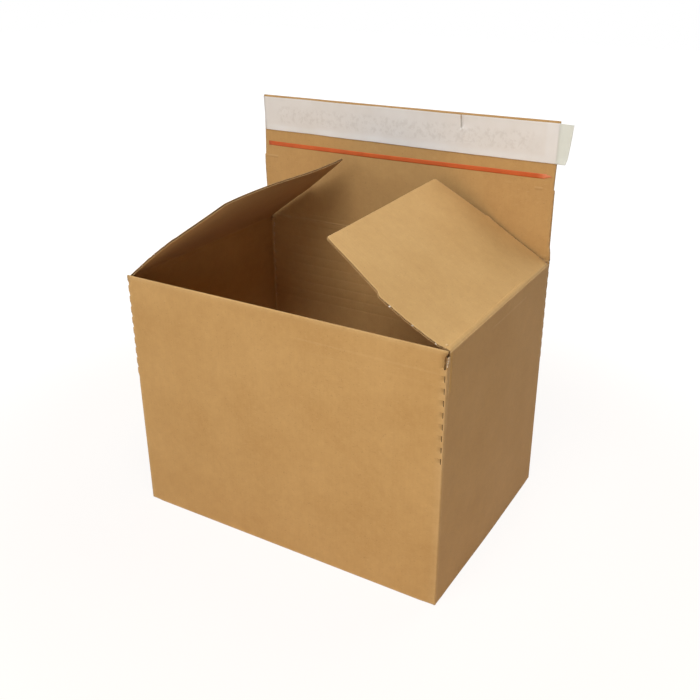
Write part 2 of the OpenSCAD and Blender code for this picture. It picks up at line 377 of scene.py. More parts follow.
# The four walls and the folded front flap are one sheet
walls = {
    "width": 306, "depth": 220, "height": 232, "sideTop": 230.3, "thick": 1.6, "bow": 0.5, "spread": 1.6,
    "cutMiddle": 139.5, "cutPitch": 10, "cutCount": 9, "cutHalf": 2.5, "cutNear": 1.5, "cutFar": 2.1,
    "lineAt": 142.3, "lineHalf": 0.6, "lineDepth": 0.06,
    "cutRadius": 0.6, "bridgeRadius": 2.3, "lowRadius": 1.8, "frontBead": 0.6, "backBead": 1.0,
    "cutsEnd": 222.9, "tearFrom": 216.9, "rimCut": 226.5, "rimFrom": 227.2, "lowEnd": 133,
    "footLift": 0.6, "footReach": 10.5, "footHeight": 12.6,
    "foldMiddle": (-109, 231), "foldRadius": 1.0, "foldInner": 0.12,
    "flapHalf": 151, "flapLength": 127, "shoulder": 3.5, "spring": 4,
}
wide, deep = walls["width"], walls["depth"]
sides = [
    {"name": "front", "start": (-wide / 2, -deep / 2), "along": (1, 0), "out": (0, -1), "long": wide},
    {"name": "right", "start": (wide / 2, -deep / 2), "along": (0, 1), "out": (1, 0), "long": deep},
    {"name": "back", "start": (wide / 2, deep / 2), "along": (-1, 0), "out": (0, 1), "long": wide},
    {"name": "left", "start": (-wide / 2, deep / 2), "along": (0, -1), "out": (-1, 0), "long": deep},
]
sideStarts = [0, wide, wide + deep, 2 * wide + deep, 2 * (wide + deep)]


def wallRows():
    rows = [0.0, 0.3, 1.0, 3.4, 7.5, 12.5, 25, 40, 56, 72, 88, 104, 118, 128, 133.5]
    for i in range(walls["cutCount"]):
        base = walls["cutMiddle"] + i * walls["cutPitch"]
        rows += [base - 3.0, base - 2.5, base, base + 2.2, base + 2.5, base + 2.8, base + 3.1, base + 3.4]
    return rows + [224.8, 226.5, 227.0, 227.4, 228.3, 229.4, walls["sideTop"]]


levels = wallRows()
rimRow = len(levels) - 1


def inCut(z):
    if z > 227.01:
        return True
    place = (z - walls["cutMiddle"] + walls["cutHalf"]) % walls["cutPitch"]
    return z > 136.9 and place < 2 * walls["cutHalf"] + 0.01 and z < 223


# How far a corner's rounding reaches along its first and its second wall
def cornerReach(sideIndex, z):
    if sideIndex == 0:
        near = min(1.2, between(z, tornCorner["side"]) - 0.1) if z > walls["tearFrom"] else 1.2
        return near, between(z, [(0, 2.0), (130, 2.4), (165, 3.0), (210, 6.0), (232, 7.0)])
    if z < walls["lowEnd"]:
        return walls["lowRadius"], walls["lowRadius"]
    middle = walls["cutMiddle"] + round((z - walls["cutMiddle"]) / walls["cutPitch"]) * walls["cutPitch"]
    away = 0.0 if z > walls["rimCut"] else max(0.0, abs(z - middle) - walls["cutHalf"])
    radius = walls["cutRadius"] + (walls["bridgeRadius"] - walls["cutRadius"]) * smooth(away, 0.0, 1.0)
    return radius, radius


# Torn front right corner: height, end of the front wall, start of the right wall's shred
tornCorner = {
    "front": [(217.0, 2.9), (219.6, 2.7), (221.7, 2.6), (222.3, 2.4), (224.8, 2.7), (226.5, 2.5), (227.4, 2.2),
              (228.3, 1.6), (229.4, 0.8), (230.3, 0.3)],
    "side": [(217.0, 1.5), (219.6, 1.2), (221.7, 0.9), (222.3, 0.7), (224.8, 0.6), (226.5, 0.35), (227.4, 0.3)],
}
stationKinds = []      # (side, kind, place): the columns all the way round
plainStops = {306: [5, 8, 14, 24, 38, 56, 76, 96, 116, 134, 153, 172, 190, 210, 230, 250, 268, 282, 292, 298],
              220: [5, 8, 14, 24, 38, 56, 76, 96, 114, 132, 150, 168, 184, 196, 206, 212]}
for sideIndex, side in enumerate(sides):
    stationKinds.append((sideIndex, "begin", 0))
    for stop in plainStops[side["long"]]:
        stationKinds.append((sideIndex, "flat", stop))
    stationKinds += [(sideIndex, "cutNear", 0), (sideIndex, "cutFar", 0)]
    stationKinds += [(sideIndex, "bend", q) for q in (0.0, 0.25, 0.5, 0.75)]


def onSide(side, place, inset):
    return (side["start"][0] + side["along"][0] * place - side["out"][0] * inset,
            side["start"][1] + side["along"][1] * place - side["out"][1] * inset)


# How far each wall stops short of its corners above the rim cut, at its end and at its start
rimEnd = (0.3, 1.0, 0.2, 1.9)
rimBegin = (0.3, 3.2, 0.2, 1.7)
innerGap = 0.22      # between the bead's end and the slot, on the inside


def stationPoint(column, z, layer, inset):
    sideIndex, kind, place = stationKinds[column]
    side = sides[sideIndex]
    nearReach, farReach = cornerReach(sideIndex, z)
    beadEnd = walls["frontBead"] if sideIndex in (0, 3) else walls["backBead"]
    beadStart = walls["frontBead"] if sideIndex in (0, 1) else walls["backBead"]
    thick = walls["thick"]
    rim = z > walls["rimFrom"]
    if kind == "begin":
        if rim:
            distance = rimBegin[sideIndex]
        else:
            distance = thick + beadStart if layer else cornerReach((sideIndex + 3) % 4, z)[1]
        return onSide(side, distance, inset)
    if kind == "flat":
        return onSide(side, place, inset)
    if kind in ("cutNear", "cutFar"):
        torn = sideIndex == 0 and z > walls["tearFrom"]
        if kind == "cutNear" and torn:
            distance = between(z, tornCorner["front"]) + (0.5 if layer and not rim else 0.0)
        elif kind == "cutNear" and rim:
            distance = rimEnd[sideIndex]
        elif kind == "cutFar" and torn:
            distance = between(z, tornCorner["side"]) + (thick + beadEnd - 1.1 if layer else 0.0)
        elif kind == "cutNear":
            distance = thick + beadEnd + innerGap if layer else walls["cutFar"]
        else:
            distance = thick + beadEnd + innerGap - 0.02 if layer else walls["cutNear"]
        return onSide(side, side["long"] - distance, inset)
    after = sides[(sideIndex + 1) % 4]
    angle = place * math.pi / 2
    if layer:
        centre = onSide(side, side["long"] - thick, thick)
        pull = (-math.cos(angle) * after["out"][0] - math.sin(angle) * side["out"][0],
                -math.cos(angle) * after["out"][1] - math.sin(angle) * side["out"][1])
        reach = beadEnd * (1 + 0.25 * math.sin(2 * angle))
        return (centre[0] + pull[0] * reach, centre[1] + pull[1] * reach)
    centre = onSide(side, side["long"] - nearReach, farReach)
    outward, onward = farReach * math.cos(angle), nearReach * math.sin(angle)
    return (centre[0] + side["out"][0] * outward + after["out"][0] * onward,
            centre[1] + side["out"][1] * outward + after["out"][1] * onward)


def footLift(column):
    sideIndex, kind, place = stationKinds[column]
    if kind != "flat":
        return walls["footLift"]
    fromCorner = min(place, sides[sideIndex]["long"] - place)
    return walls["footLift"] * (1 - smooth(fromCorner, walls["footReach"] - 5, walls["footReach"] + 2))


def wallBow(sideIndex, kind, place, z):
    if kind != "flat":
        return 0.0
    long = sides[sideIndex]["long"]
    swell = math.sin(math.pi * place / long) * math.sin(math.pi * min(z, 222) / walls["height"])
    return walls["bow"] * swell + 0.5 * swell * wobble(place, z, 0.016, sideIndex + 3)


lineMiddles = [walls["lineAt"] + i * walls["cutPitch"] for i in range(walls["cutCount"])]


def wallPoint(column, row, layer):
    sideIndex, kind, place = stationKinds[column]
    name = sides[sideIndex]["name"]
    level = levels[row]
    z, inset = level, 0.0
    if layer:
        inset = walls["thick"]
        for middle in lineMiddles:
            inset -= walls["lineDepth"] * max(0.0, 1 - abs(level - middle) / walls["lineHalf"]) ** 0.8
        cutsEnd = walls["cutsEnd"]
        climb = max(0.0, level - cutsEnd) / (walls["sideTop"] - cutsEnd)
        if name == "front":
            inset -= 0.75 * climb ** 1.3
        else:
            z = min(level, cutsEnd) + climb * (5.8 if name != "back" else 7.3)
    else:
        if row < 3:
            inset = (0.45, 0.12, 0.0)[row]
        climb = max(0.0, level - walls["rimCut"]) / (walls["sideTop"] - walls["rimCut"])
        if name == "back":
            z += 1.5 * climb
        if name != "front":
            inset += 0.25 * smooth(climb, 0.75, 1.0)
    z += footLift(column) * max(0.0, 1 - level / walls["footHeight"])
    x, y = stationPoint(column, level, layer, inset)
    if not layer:
        x += walls["spread"] * smooth(x, 100, 152) * smooth(y, -108, 20) * max(0.0, 1 - level / 200)
    swell = wallBow(sideIndex, kind, place, level)
    out = sides[sideIndex]["out"]
    return (x + out[0] * swell, y + out[1] * swell, z)


# Torn edges, with stubs between the cuts where bridges have torn
tearing = {"pitch": 10, "first": 2.5, "cut": 5, "bridges": 6, "stub": 0.3, "lidStub": 0.1}


def tornRows(count, slot, step, length):
    rows = []
    for i in range(count):
        low = tearing["first"] + i * tearing["pitch"]
        rows += [low - 0.06, low, low + tearing["cut"], low + tearing["cut"] + 0.06]
        if i < count - 1:
            rows += [low + tearing["cut"] + k for k in (0.9, 1.7, 2.5, 3.3, 4.1)]
    last = tearing["first"] + (count - 1) * tearing["pitch"] + tearing["cut"]
    rows += [last + k for k in (1.0, 2.0, 3.0, 4.0, 5.5, 7.0) if last + k < slot - 0.5]
    rows += [slot, slot + step * 0.5, slot + step]
    rest = slot + step
    while rest + 5 < length - 3:
        rest += 5
        rows.append(rest)
    return sorted(set(round(r, 3) for r in rows + [length - 1.5, length - 0.4, length]))


def stubInset(u, slot, seed, kind="stub"):
    if u >= slot - 0.01:
        return 0.0
    place = (u - tearing["first"]) % tearing["pitch"]
    cut = u > tearing["first"] - 0.01 and place < tearing["cut"] + 0.01 and u < slot - 4
    return tearing[kind] * (1 if cut else 0.7 * wobble(u, 0, 1.3, seed))


frontSlot = 66.5
frontRows = [r for r in tornRows(tearing["bridges"], frontSlot, 1, walls["flapLength"]) if r > 7]
spring = math.radians(walls["spring"])
foldSteps = [(180 - k * 22.5) for k in range(9)]
shoulderPath = [((-107.95, 230.2), (-108.75, 230.2)), ((-107.55, 228.9), (-108.6, 229.0)),
                ((-106.95, 227.5), (-108.42, 227.6))]
frontColumns = [c for c, kind in enumerate(stationKinds) if kind[0] == 0 and kind[1] in ("begin", "flat", "cutNear")]
extraRows = len(foldSteps) + len(shoulderPath) + len(frontRows)
rimHalf = 152.7


def foldPoint(column, extra, layer):
    x, y, z = wallPoint(column, rimRow, layer)
    share = x / rimHalf
    if extra < len(foldSteps):
        angle = math.radians(foldSteps[extra])
        radius = walls["foldInner"] if layer else walls["foldRadius"] * (1 + 0.04 * wobble(x, extra, 0.05, 5))
        middleY, middleZ = walls["foldMiddle"]
        return (x, middleY + radius * math.cos(angle), middleZ + radius * math.sin(angle))
    extra -= len(foldSteps)
    if extra < len(shoulderPath):
        y, z = shoulderPath[extra][layer]
        return (share * (151.6, 151.1, 151.0)[extra], y, z)
    u = frontRows[extra - len(shoulderPath)]
    stub = stubInset(u, frontSlot, 11) if abs(share) > 0.985 else 0.0
    half = walls["flapHalf"] - (1.0 if u > frontSlot + 0.5 else 0.0) - stub
    down = u - walls["shoulder"]
    near = 0.0 if layer else walls["thick"]
    return (share * half, -108.4 + near * math.cos(spring) + down * math.sin(spring),
            228.5 + near * math.sin(spring) - down * math.cos(spring))


nearGrid, farGrid = [], []
for column in range(len(stationKinds)):
    for grid, layer in ((nearGrid, 0), (farGrid, 1)):
        points = [wallPoint(column, row, layer) for row in range(len(levels))]
        if column in frontColumns:
            points += [foldPoint(column, extra, layer) for extra in range(extraRows)]
        else:
            points += [points[-1]] * extraRows
        grid.append(points)


def wallSolid(i, j):
    sideIndex, kind = stationKinds[i][:2]
    if j >= rimRow:
        return i in frontColumns and i + 1 in frontColumns
    low, high = levels[j], levels[j + 1]
    if kind == "cutNear":
        torn = sideIndex == 0 and low > 219.4
        if torn or (inCut(low + 0.01) and inCut(high - 0.01)) or low > 226.9:
            return False
        return True
    if kind in ("cutFar", "bend") and low > 226.9:
        return False
    return True


def wallFlat(i, j):
    turn, column = divmod(i, len(stationKinds))
    sideIndex, kind, place = stationKinds[column]
    side = sides[sideIndex]
    x, y, z = nearGrid[column][min(j, rimRow)]
    along = (x - side["start"][0]) * side["along"][0] + (y - side["start"][1]) * side["along"][1]
    if kind == "bend":
        along = side["long"] - 1.7 + place * 1.7
    beyond = 0.0
    if j > rimRow:
        beyond = 1.0 + (j - rimRow) * 0.6 if j <= rimRow + len(foldSteps) + 3 else \
            frontRows[j - rimRow - len(foldSteps) - 4]
    return (sideStarts[sideIndex] + max(0.0, along) + turn * sideStarts[4], z + beyond)


# Pale mask of the walls: rubbed wear at the bottom fold, cut edges and rim fold; at the outer corner bends partly a
# painted highlight, and on the inner bend a painted highlight along the bead
def wallWearAndHighlight(i, j, layer):
    kind = stationKinds[i][1]
    if layer:
        return 0.6 if kind == "bend" else 0.0
    value = {"bend": 0.75, "cutFar": 0.5, "cutNear": 0.35, "begin": 0.5}.get(kind, 0.0)
    if kind == "bend" and levels[min(j, rimRow)] < walls["lowEnd"]:
        value = 0.5
    if j < 3:
        value = max(value, 0.7)
    if rimRow - 1 <= j <= rimRow + len(foldSteps):
        value = max(value, 0.3)
    return value


boxWalls = gridShell("box_walls", nearGrid, farGrid, wallSolid, wallFlat,
                     [outsideKraft, insideKraft, boardEdge], wallWearAndHighlight, wrap=True)
settle(boxWalls, "box", "board", "box_body")
print("walls made", len(boxWalls.data.polygons))


# Flat plates of board with open cells, for the bottom and the glued tab
def plate(name, columns, rows, low, high, isOpen, materials, ease=0.25):
    near = [[(x, y, low + (ease if i in (0, len(columns) - 1) or j in (0, len(rows) - 1) else 0.0))
             for j, y in enumerate(rows)] for i, x in enumerate(columns)]
    far = [[(x, y, high - (ease if i in (0, len(columns) - 1) or j in (0, len(rows) - 1) else 0.0))
            for j, y in enumerate(rows)] for i, x in enumerate(columns)]
    return gridShell(name, near, far, lambda i, j: not isOpen(i, j),
                     lambda i, j: (columns[min(i, len(columns) - 1)], rows[j]), materials,
                     lambda i, j, layer: 0.5 if i in (0, len(columns) - 1) else 0.0, flip=True)


bottomFlaps = {"seam": 0.8, "hook": 18}


def bottomMaterial():
    material = outsideKraft.copy()
    material.name = "bottomKraft"
    return material


seamHalf = bottomFlaps["seam"] / 2
hook = bottomFlaps["hook"]
plateX = [-151.4, -142.5, -139, -100, -60, -20, -seamHalf, seamHalf, 20, 60, 100, 139, 142.5, 151.4]
plateY = [-108.4, -99.5, -96, -60, -hook - seamHalf, -hook + seamHalf, 0, hook - seamHalf, hook + seamHalf, 60, 96,
          99.5, 108.4]


def seamOpen(i, j):
    x, y = (plateX[i] + plateX[i + 1]) / 2, (plateY[j] + plateY[j + 1]) / 2
    if abs(x) > 142.5 and abs(y) > 99.5:
        return True
    if abs(x) < seamHalf:
        return abs(y) < hook + seamHalf
    return abs(y - (hook if x > 0 else -hook)) < seamHalf


lowerPlate = plate("bottom_outer", plateX, plateY, 0.0, 1.55, seamOpen,
                   [bottomMaterial(), insideKraft, boardEdge], 0.0)
settle(lowerPlate, "box", "board")
for label, sign in (("left", -1), ("right", 1)):
    xs = sorted([sign * 151.3, sign * 150, sign * 120, sign * 90, sign * 60, sign * 49, sign * 48])
    ys = [-104.4, -103.4, -60, -20, 20, 60, 103.4, 104.4]
    inner = plate("bottom_inner_" + label, xs, ys, 1.6, 3.15, lambda i, j: False,
                  [insideKraft, insideKraft, boardEdge])
    settle(inner, "box", "board")

# Glued tab, inside the right wall by the back corner
tab = {"from": 14, "to": 218, "thick": 1.2, "slope": 2}
tabY = [0, 0.6, 4, 12, 20, 26, 29.2, 30]
tabZ = [0, 0.01, 0.1, 0.3, 0.5, 0.7, 0.9, 0.99, 1]


def tabPoint(a, b, layer):
    slant = tab["slope"] * (1 - 2 * a / 30)
    low, high = tab["from"] - slant, tab["to"] + slant
    lip = 0.5 if a > 29.5 or b in (0, 1) else 0.0
    x = 151.39 if layer else 151.4 - tab["thick"] + lip + 0.1 * wobble(a, b * 200, 0.08, 4)
    return (x, 107.2 - 0.96 * a, low + (high - low) * b)


tabShell = gridShell("glued_tab", [[tabPoint(a, b, 0) for b in tabZ] for a in tabY],
                     [[tabPoint(a, b, 1) for b in tabZ] for a in tabY], lambda i, j: True,
                     lambda i, j: (500 - tabY[i], 14 + 204 * tabZ[j]), [insideKraft, insideKraft, cutPaper],
                     lambda i, j, layer: 0.3 if i == len(tabY) - 1 else 0.0, flip=True)
settle(tabShell, "box", "board")
print("bottom and tab made")


# Moving flaps: two facings with the fluted paper between them
flapSizes = {"length": 127, "thick": 1.6, "facing": 0.28, "slot": 66.5, "longStep": 1.0, "sideStep": 3.0,
             "frontTaper": 7.2, "backTaper": 13.7, "lean": 2.5, "lidDrift": 3.4,
             "rootOuter": 0.8, "rootInner": 2.2}
flapPlaces = {
    "left": {"hinge": (-153, -110, 230.5), "across": (0, 1, 0), "rise": 37, "inward": 1, "wide": 220, "seed": 21,
             "lift": [(0, 0, 0), (6, 0.3, 0.1), (18, 0.8, 0.2), (33, 1.4, 0.1), (67, 1.0, -0.3), (102, -0.3, 0.4),
                      (127, -0.9, 1.1)],
             "slide": (0.0, 0.0), "bow": 1.7, "nick": 34},
    "right": {"hinge": (153, -110, 230.5), "across": (0, 1, 0), "rise": 30, "inward": -1, "wide": 220, "seed": 33,
              "lift": [(0, 0, 0), (12, -2.2, 0.2), (33, -3.3, 0.5), (60, -3.0, 1.4), (72, -2.2, 2.4),
                       (100, -0.3, 4.6), (127, 0.9, 6.6)],
              "slide": (0.0, 0.0), "bow": 0.0, "nick": None},
    "back": {"hinge": (-153, 110, 232), "across": (1, 0, 0), "rise": 90 - 2.5, "inward": 0, "wide": 306, "seed": 47,
             "lift": [(0, 0, 0), (66.5, 0.3, -0.3), (127, -0.6, 0.0)], "slide": (-3.2, -1.0), "bow": 0.0,
             "nick": None},
}


def flapFrame(label):
    p = flapPlaces[label]
    rise = math.radians(p["rise"])
    if label == "back":
        lean = math.radians(flapSizes["lean"])
        return Vector((0, -math.sin(lean), math.cos(lean))), Vector((0, math.cos(lean), math.sin(lean)))
    return (Vector((p["inward"] * math.cos(rise), 0, math.sin(rise))),
            Vector((-p["inward"] * math.sin(rise), 0, math.cos(rise))))


def smoothTable(value, table, item):
    for a, b in zip(table, table[1:]):
        if value <= b[0]:
            t = (value - a[0]) / (b[0] - a[0])
            before = table[max(0, table.index(a) - 1)]
            after = table[min(len(table) - 1, table.index(b) + 1)]
            slopeA = 0.0 if before is a else (b[item] - before[item]) / (b[0] - before[0])
            slopeB = (after[item] - a[item]) / (after[0] - a[0])
            h = b[0] - a[0]
            return ((2 * t ** 3 - 3 * t ** 2 + 1) * a[item] + (t ** 3 - 2 * t ** 2 + t) * h * slopeA
                    + (3 * t ** 2 - 2 * t ** 3) * b[item] + (t ** 3 - t ** 2) * h * slopeB)
    return table[-1][item]


# A point of a flap: s along the crease, u from the crease, t through the board from its outer face
def flapPoint(label, s, u, t):
    p = flapPlaces[label]
    along, out = flapFrame(label)
    share = s / p["wide"]
    front, back = smoothTable(u, p["lift"], 1), smoothTable(u, p["lift"], 2)
    lift = front + (back - front) * smooth(share, 0, 1)
    lift += 0.5 * smooth(u, 8, 60) * wobble(s, u, 0.017, p["seed"])
    lift += p["bow"] * math.sin(2 * math.pi * share) * smooth(u, 30, 127)
    first, last = p["slide"]
    u = u + (first + (last - first) * min(1.0, max(0.0, share)) ** 1.5) * smooth(u, 3, 40)
    return tuple(Vector(p["hinge"]) + Vector(p["across"]) * s + along * u + out * (lift - t))


def flapInsets(label, u, which):
    z = flapSizes
    p = flapPlaces[label]
    if label == "back":
        base = min(z["longStep"], max(0.0, u - z["slot"]))
        if which:
            base += 0.5 * z["lidDrift"] * smooth(u, 3, 20) * (1 - smooth(u, 40, 110))
        else:
            base -= z["lidDrift"] * smooth(u, 3, 20) * (1 - smooth(u, 50, 122))
        return base + stubInset(u, z["slot"], p["seed"] + which, "lidStub")
    slot = z["slot"] + (z["sideStep"] if label == "right" and which else 0.0)
    step = min(1.0, max(0.0, (u - slot) / z["sideStep"]))
    taper = max(0.0, u - slot - z["sideStep"]) / (z["length"] - slot - z["sideStep"])
    if which:
        base = 3.4 + min(u, slot) * math.tan(math.radians(z["lean"])) + step * z["sideStep"] + taper * z["backTaper"]
    else:
        base = 3.8 + step * z["sideStep"] + taper * z["frontTaper"]
    if p["nick"] and not which and abs(u - p["nick"]) < 2.4:
        base += 1.1 * (1 - abs(u - p["nick"]) / 2.4)
    round_ = 1.6 * max(0.0, 1 - (z["length"] - u) / 1.6) ** 2
    return base + round_ + stubInset(u, slot, p["seed"] + which * 5)


def flapSheet(label, name, tFace, tHidden, root, materials, edgeSeed):
    p = flapPlaces[label]
    slot = flapSizes["slot"]
    step = flapSizes["longStep"] if label == "back" else flapSizes["sideStep"]
    rows = [root, root + 1.2, root + 2.4]
    rows += [r for r in tornRows(tearing["bridges"], slot, step, flapSizes["length"]) if r > root + 3]
    if label == "right":
        rows = sorted(set(rows + [69.5, 71.0, 72.5]))
    if p["nick"]:
        rows = sorted(set(rows + [p["nick"] + k for k in (-2.3, -1.0, 0.4, 1.4, 2.3)]))
    shares = [0, 0.007, 0.02, 0.05] + [0.1 + 0.05 * k for k in range(17)] + [0.95, 0.98, 0.993, 1]
    near, far, flats = [], [], []
    for share in shares:
        nearColumn, farColumn, flatColumn = [], [], []
        for u in rows:
            low = flapInsets(label, u, 0) + 0.12 * wobble(u, 3, 0.9, edgeSeed)
            high = p["wide"] - flapInsets(label, u, 1) - 0.12 * wobble(u, 9, 0.9, edgeSeed)
            s = low + (high - low) * share
            end = u - (0.12 * abs(wobble(s, 5, 0.7, edgeSeed)) if u > flapSizes["length"] - 0.2 else 0.0)
            nearColumn.append(flapPoint(label, s, end, tFace))
            farColumn.append(flapPoint(label, s, end, tHidden))
            flatColumn.append((s, end))
        near.append(nearColumn)
        far.append(farColumn)
        flats.append(flatColumn)

    def rubbed(i, j, layer):
        side = 1.0 if i in (0, len(shares) - 1) else 0.0
        return max(side, 0.8 if j > len(rows) - 2 else 0.0, 0.5 if j == 0 else 0.0) * (0.7 if tFace < 1 else 0.4)

    outward = tFace < tHidden
    leftHanded = label in ("left", "back")
    return gridShell(name, near, far, lambda i, j: True, lambda i, j: flats[i][j], materials, rubbed,
                     flip=(outward == leftHanded))


def joinPieces(name, pieces):
    for thing in bpy.context.scene.objects:
        thing.select_set(False)
    for piece in pieces:
        piece.select_set(True)
    bpy.context.view_layer.objects.active = pieces[0]
    bpy.ops.object.join()
    pieces[0].name = name
    return pieces[0]


# Fluted paper of a flap, grown by a node tree: a fine grid trimmed to the flap's outline and waved
flute = {"pitch": 3.5, "height": 0.89, "middle": 0.8, "paper": 0.16, "root": 2.0, "edge": 0.4, "perWave": 8}


def fluteTree():
    tree = bpy.data.node_groups.new("flutedPaper", "GeometryNodeTree")
    sizes = ["Length", "Width", "Pitch", "Height", "Middle", "Paper", "Root", "Low Root", "Low Slope", "Low Step",
             "Low Taper", "High Root", "High Slope", "High Step", "High Taper", "Slot", "Step Length"]
    for name in sizes:
        tree.interface.new_socket(name=name, in_out="INPUT", socket_type="NodeSocketFloat")
    tree.interface.new_socket(name="Columns", in_out="INPUT", socket_type="NodeSocketInt")
    tree.interface.new_socket(name="Rows", in_out="INPUT", socket_type="NodeSocketInt")
    tree.interface.new_socket(name="Finish", in_out="INPUT", socket_type="NodeSocketMaterial")
    tree.interface.new_socket(name="Geometry", in_out="OUTPUT", socket_type="NodeSocketGeometry")
    graph = Graph(tree)
    given = tree.nodes.new("NodeGroupInput")
    value = {s.name: Wire(graph, s) for s in given.outputs if s.name}
    grid = graph.add("GeometryNodeMeshGrid", None, {"Size X": 1.0, "Size Y": 1.0, "Vertices X": value["Columns"],
                                                    "Vertices Y": value["Rows"]}, "Mesh")
    place = graph.add("GeometryNodeInputPosition")
    share = graph.add("ShaderNodeSeparateXYZ", None, {"Vector": place}, "X") + 0.5
    climb = graph.add("ShaderNodeSeparateXYZ", None, {"Vector": place}, "Y") + 0.5
    up = value["Root"] + (value["Length"] - value["Root"]) * climb

    def inset(side):
        before = graph.add("ShaderNodeMath", {"operation": "MINIMUM"}, {0: up, 1: value["Slot"]})
        beyond = graph.add("ShaderNodeMath", {"operation": "MAXIMUM"}, {0: up - value["Slot"], 1: 0.0})
        step = graph.add("ShaderNodeMath", {"operation": "MINIMUM"}, {0: beyond / value["Step Length"], 1: 1.0})
        taper = graph.add("ShaderNodeMath", {"operation": "MAXIMUM"}, {0: beyond - value["Step Length"], 1: 0.0})
        taper = taper / (value["Length"] - value["Slot"] - value["Step Length"])
        return value[side + " Root"] + value[side + " Slope"] * before + value[side + " Step"] * step \
            + value[side + " Taper"] * taper

    low, high = inset("Low"), value["Width"] - inset("High")
    along = low + (high - low) * share
    wave = graph.add("ShaderNodeMath", {"operation": "COSINE"}, {0: along * (2 * math.pi) / value["Pitch"]})
    depth = value["Middle"] - value["Paper"] * 0.5 + wave * value["Height"] * 0.5
    moved = graph.add("GeometryNodeSetPosition", None, {"Geometry": grid, "Position": graph.add(
        "ShaderNodeCombineXYZ", None, {"X": along, "Y": up, "Z": depth})})
    lifted = graph.add("GeometryNodeExtrudeMesh", {"mode": "FACES"}, {
        "Mesh": moved, "Individual": False, "Offset": graph.add("ShaderNodeCombineXYZ", None, {"Z": 1.0}),
        "Offset Scale": value["Paper"]}, "Mesh")
    under = graph.add("GeometryNodeFlipFaces", None, {"Mesh": moved})
    both = tree.nodes.new("GeometryNodeJoinGeometry")
    tree.links.new(under.socket, both.inputs[0])
    tree.links.new(lifted.socket, both.inputs[0])
    joined = Wire(graph, both.outputs[0])
    closed = graph.add("GeometryNodeMergeByDistance", None, {"Geometry": joined, "Distance": 0.01})
    real = graph.add("GeometryNodeRealizeInstances", None, {"Geometry": closed})
    dressed = graph.add("GeometryNodeSetMaterial", None, {"Geometry": real, "Material": value["Finish"]})
    given = tree.nodes.new("NodeGroupOutput")
    tree.links.new(dressed.socket, given.inputs[0])
    return tree


# Runs a tree on an object and returns the plain mesh as a new object
def grow(name, tree, values, mesh=None):
    start = bpy.data.objects.new(name + "Start", mesh or bpy.data.meshes.new(name + "Start"))
    bpy.context.scene.collection.objects.link(start)
    modifier = start.modifiers.new("grow", "NODES")
    modifier.node_group = tree
    for item in tree.interface.items_tree:
        if item.item_type == "SOCKET" and item.in_out == "INPUT" and item.name in values:
            modifier[item.identifier] = values[item.name]
    seen = start.evaluated_get(bpy.context.evaluated_depsgraph_get())
    result = bpy.data.meshes.new_from_object(seen)
    start.modifiers.remove(modifier)
    bpy.data.objects.remove(start)
    thing = bpy.data.objects.new(name, result)
    bpy.context.scene.collection.objects.link(thing)
    return thing


wavedPaper = fluteTree()


def flapFlutes(label):
    p, z = flapPlaces[label], flapSizes
    back = label == "back"
    e = flute["edge"]
    columns = int(p["wide"] / flute["pitch"] * flute["perWave"])
    lean = math.tan(math.radians(z["lean"]))
    step = z["longStep"] if back else z["sideStep"]
    thing = grow(label + "_flutes", wavedPaper, {
        "Length": z["length"] - 0.35, "Width": float(p["wide"]), "Pitch": flute["pitch"], "Height": flute["height"],
        "Middle": flute["middle"], "Paper": flute["paper"], "Root": flute["root"],
        "Low Root": (0.6 if back else 3.8 + 0.6) + e, "Low Slope": 0.0, "Low Step": step,
        "Low Taper": 0.0 if back else z["frontTaper"],
        "High Root": (0.6 if back else 3.4 + 0.6) + e, "High Slope": 0.0 if back else lean, "High Step": step,
        "High Taper": 0.0 if back else z["backTaper"], "Slot": z["slot"], "Step Length": step,
        "Columns": columns, "Rows": 14, "Finish": flutePaper})
    flats = [(v.co.x, v.co.y) for v in thing.data.vertices]
    for v in thing.data.vertices:
        crumple = 0.06 * wobble(v.co.x, v.co.y, 0.35, p["seed"])
        v.co = Vector(flapPoint(label, v.co.x, v.co.y, v.co.z + crumple)) * mm
    if label == "right":
        thing.data.flip_normals()
    layer = thing.data.uv_layers.get("board") or thing.data.uv_layers.new(name="board")
    for loop in thing.data.loops:
        layer.data[loop.index].uv = (flats[loop.vertex_index][0] * mm, flats[loop.vertex_index][1] * mm)
    for face in thing.data.polygons:
        face.use_smooth = True
    return thing


flapMaterials = {"left": (flapKraft, insideKraft), "right": (flapKraft, insideKraft),
                 "back": (outsideKraft, lidKraft)}
for label, node in (("left", "left_flap"), ("right", "right_flap"), ("back", "back_flap")):
    outerKraft, innerKraft = flapMaterials[label]
    facing, thick = flapSizes["facing"], flapSizes["thick"]
    outer = flapSheet(label, label + "_outer", 0.0, facing, flapSizes["rootOuter"],
                      [outerKraft, flutePaper, cutPaper], 61)
    inner = flapSheet(label, label + "_inner", thick, thick - facing, flapSizes["rootInner"],
                      [innerKraft, flutePaper, cutPaper], 73)
    whole = joinPieces(label + "_flap_board", [outer, inner, flapFlutes(label)])
    settle(whole, label, "board", node)
    print("flap made", label, len(whole.data.polygons))


# Crease skins: the facings' paper runs on over the fold, shaped round its bend
crease = {"paper": 0.28, "proud": 0.07, "wallReach": 4.6, "flapReach": 4.6, "sink": 0.1}


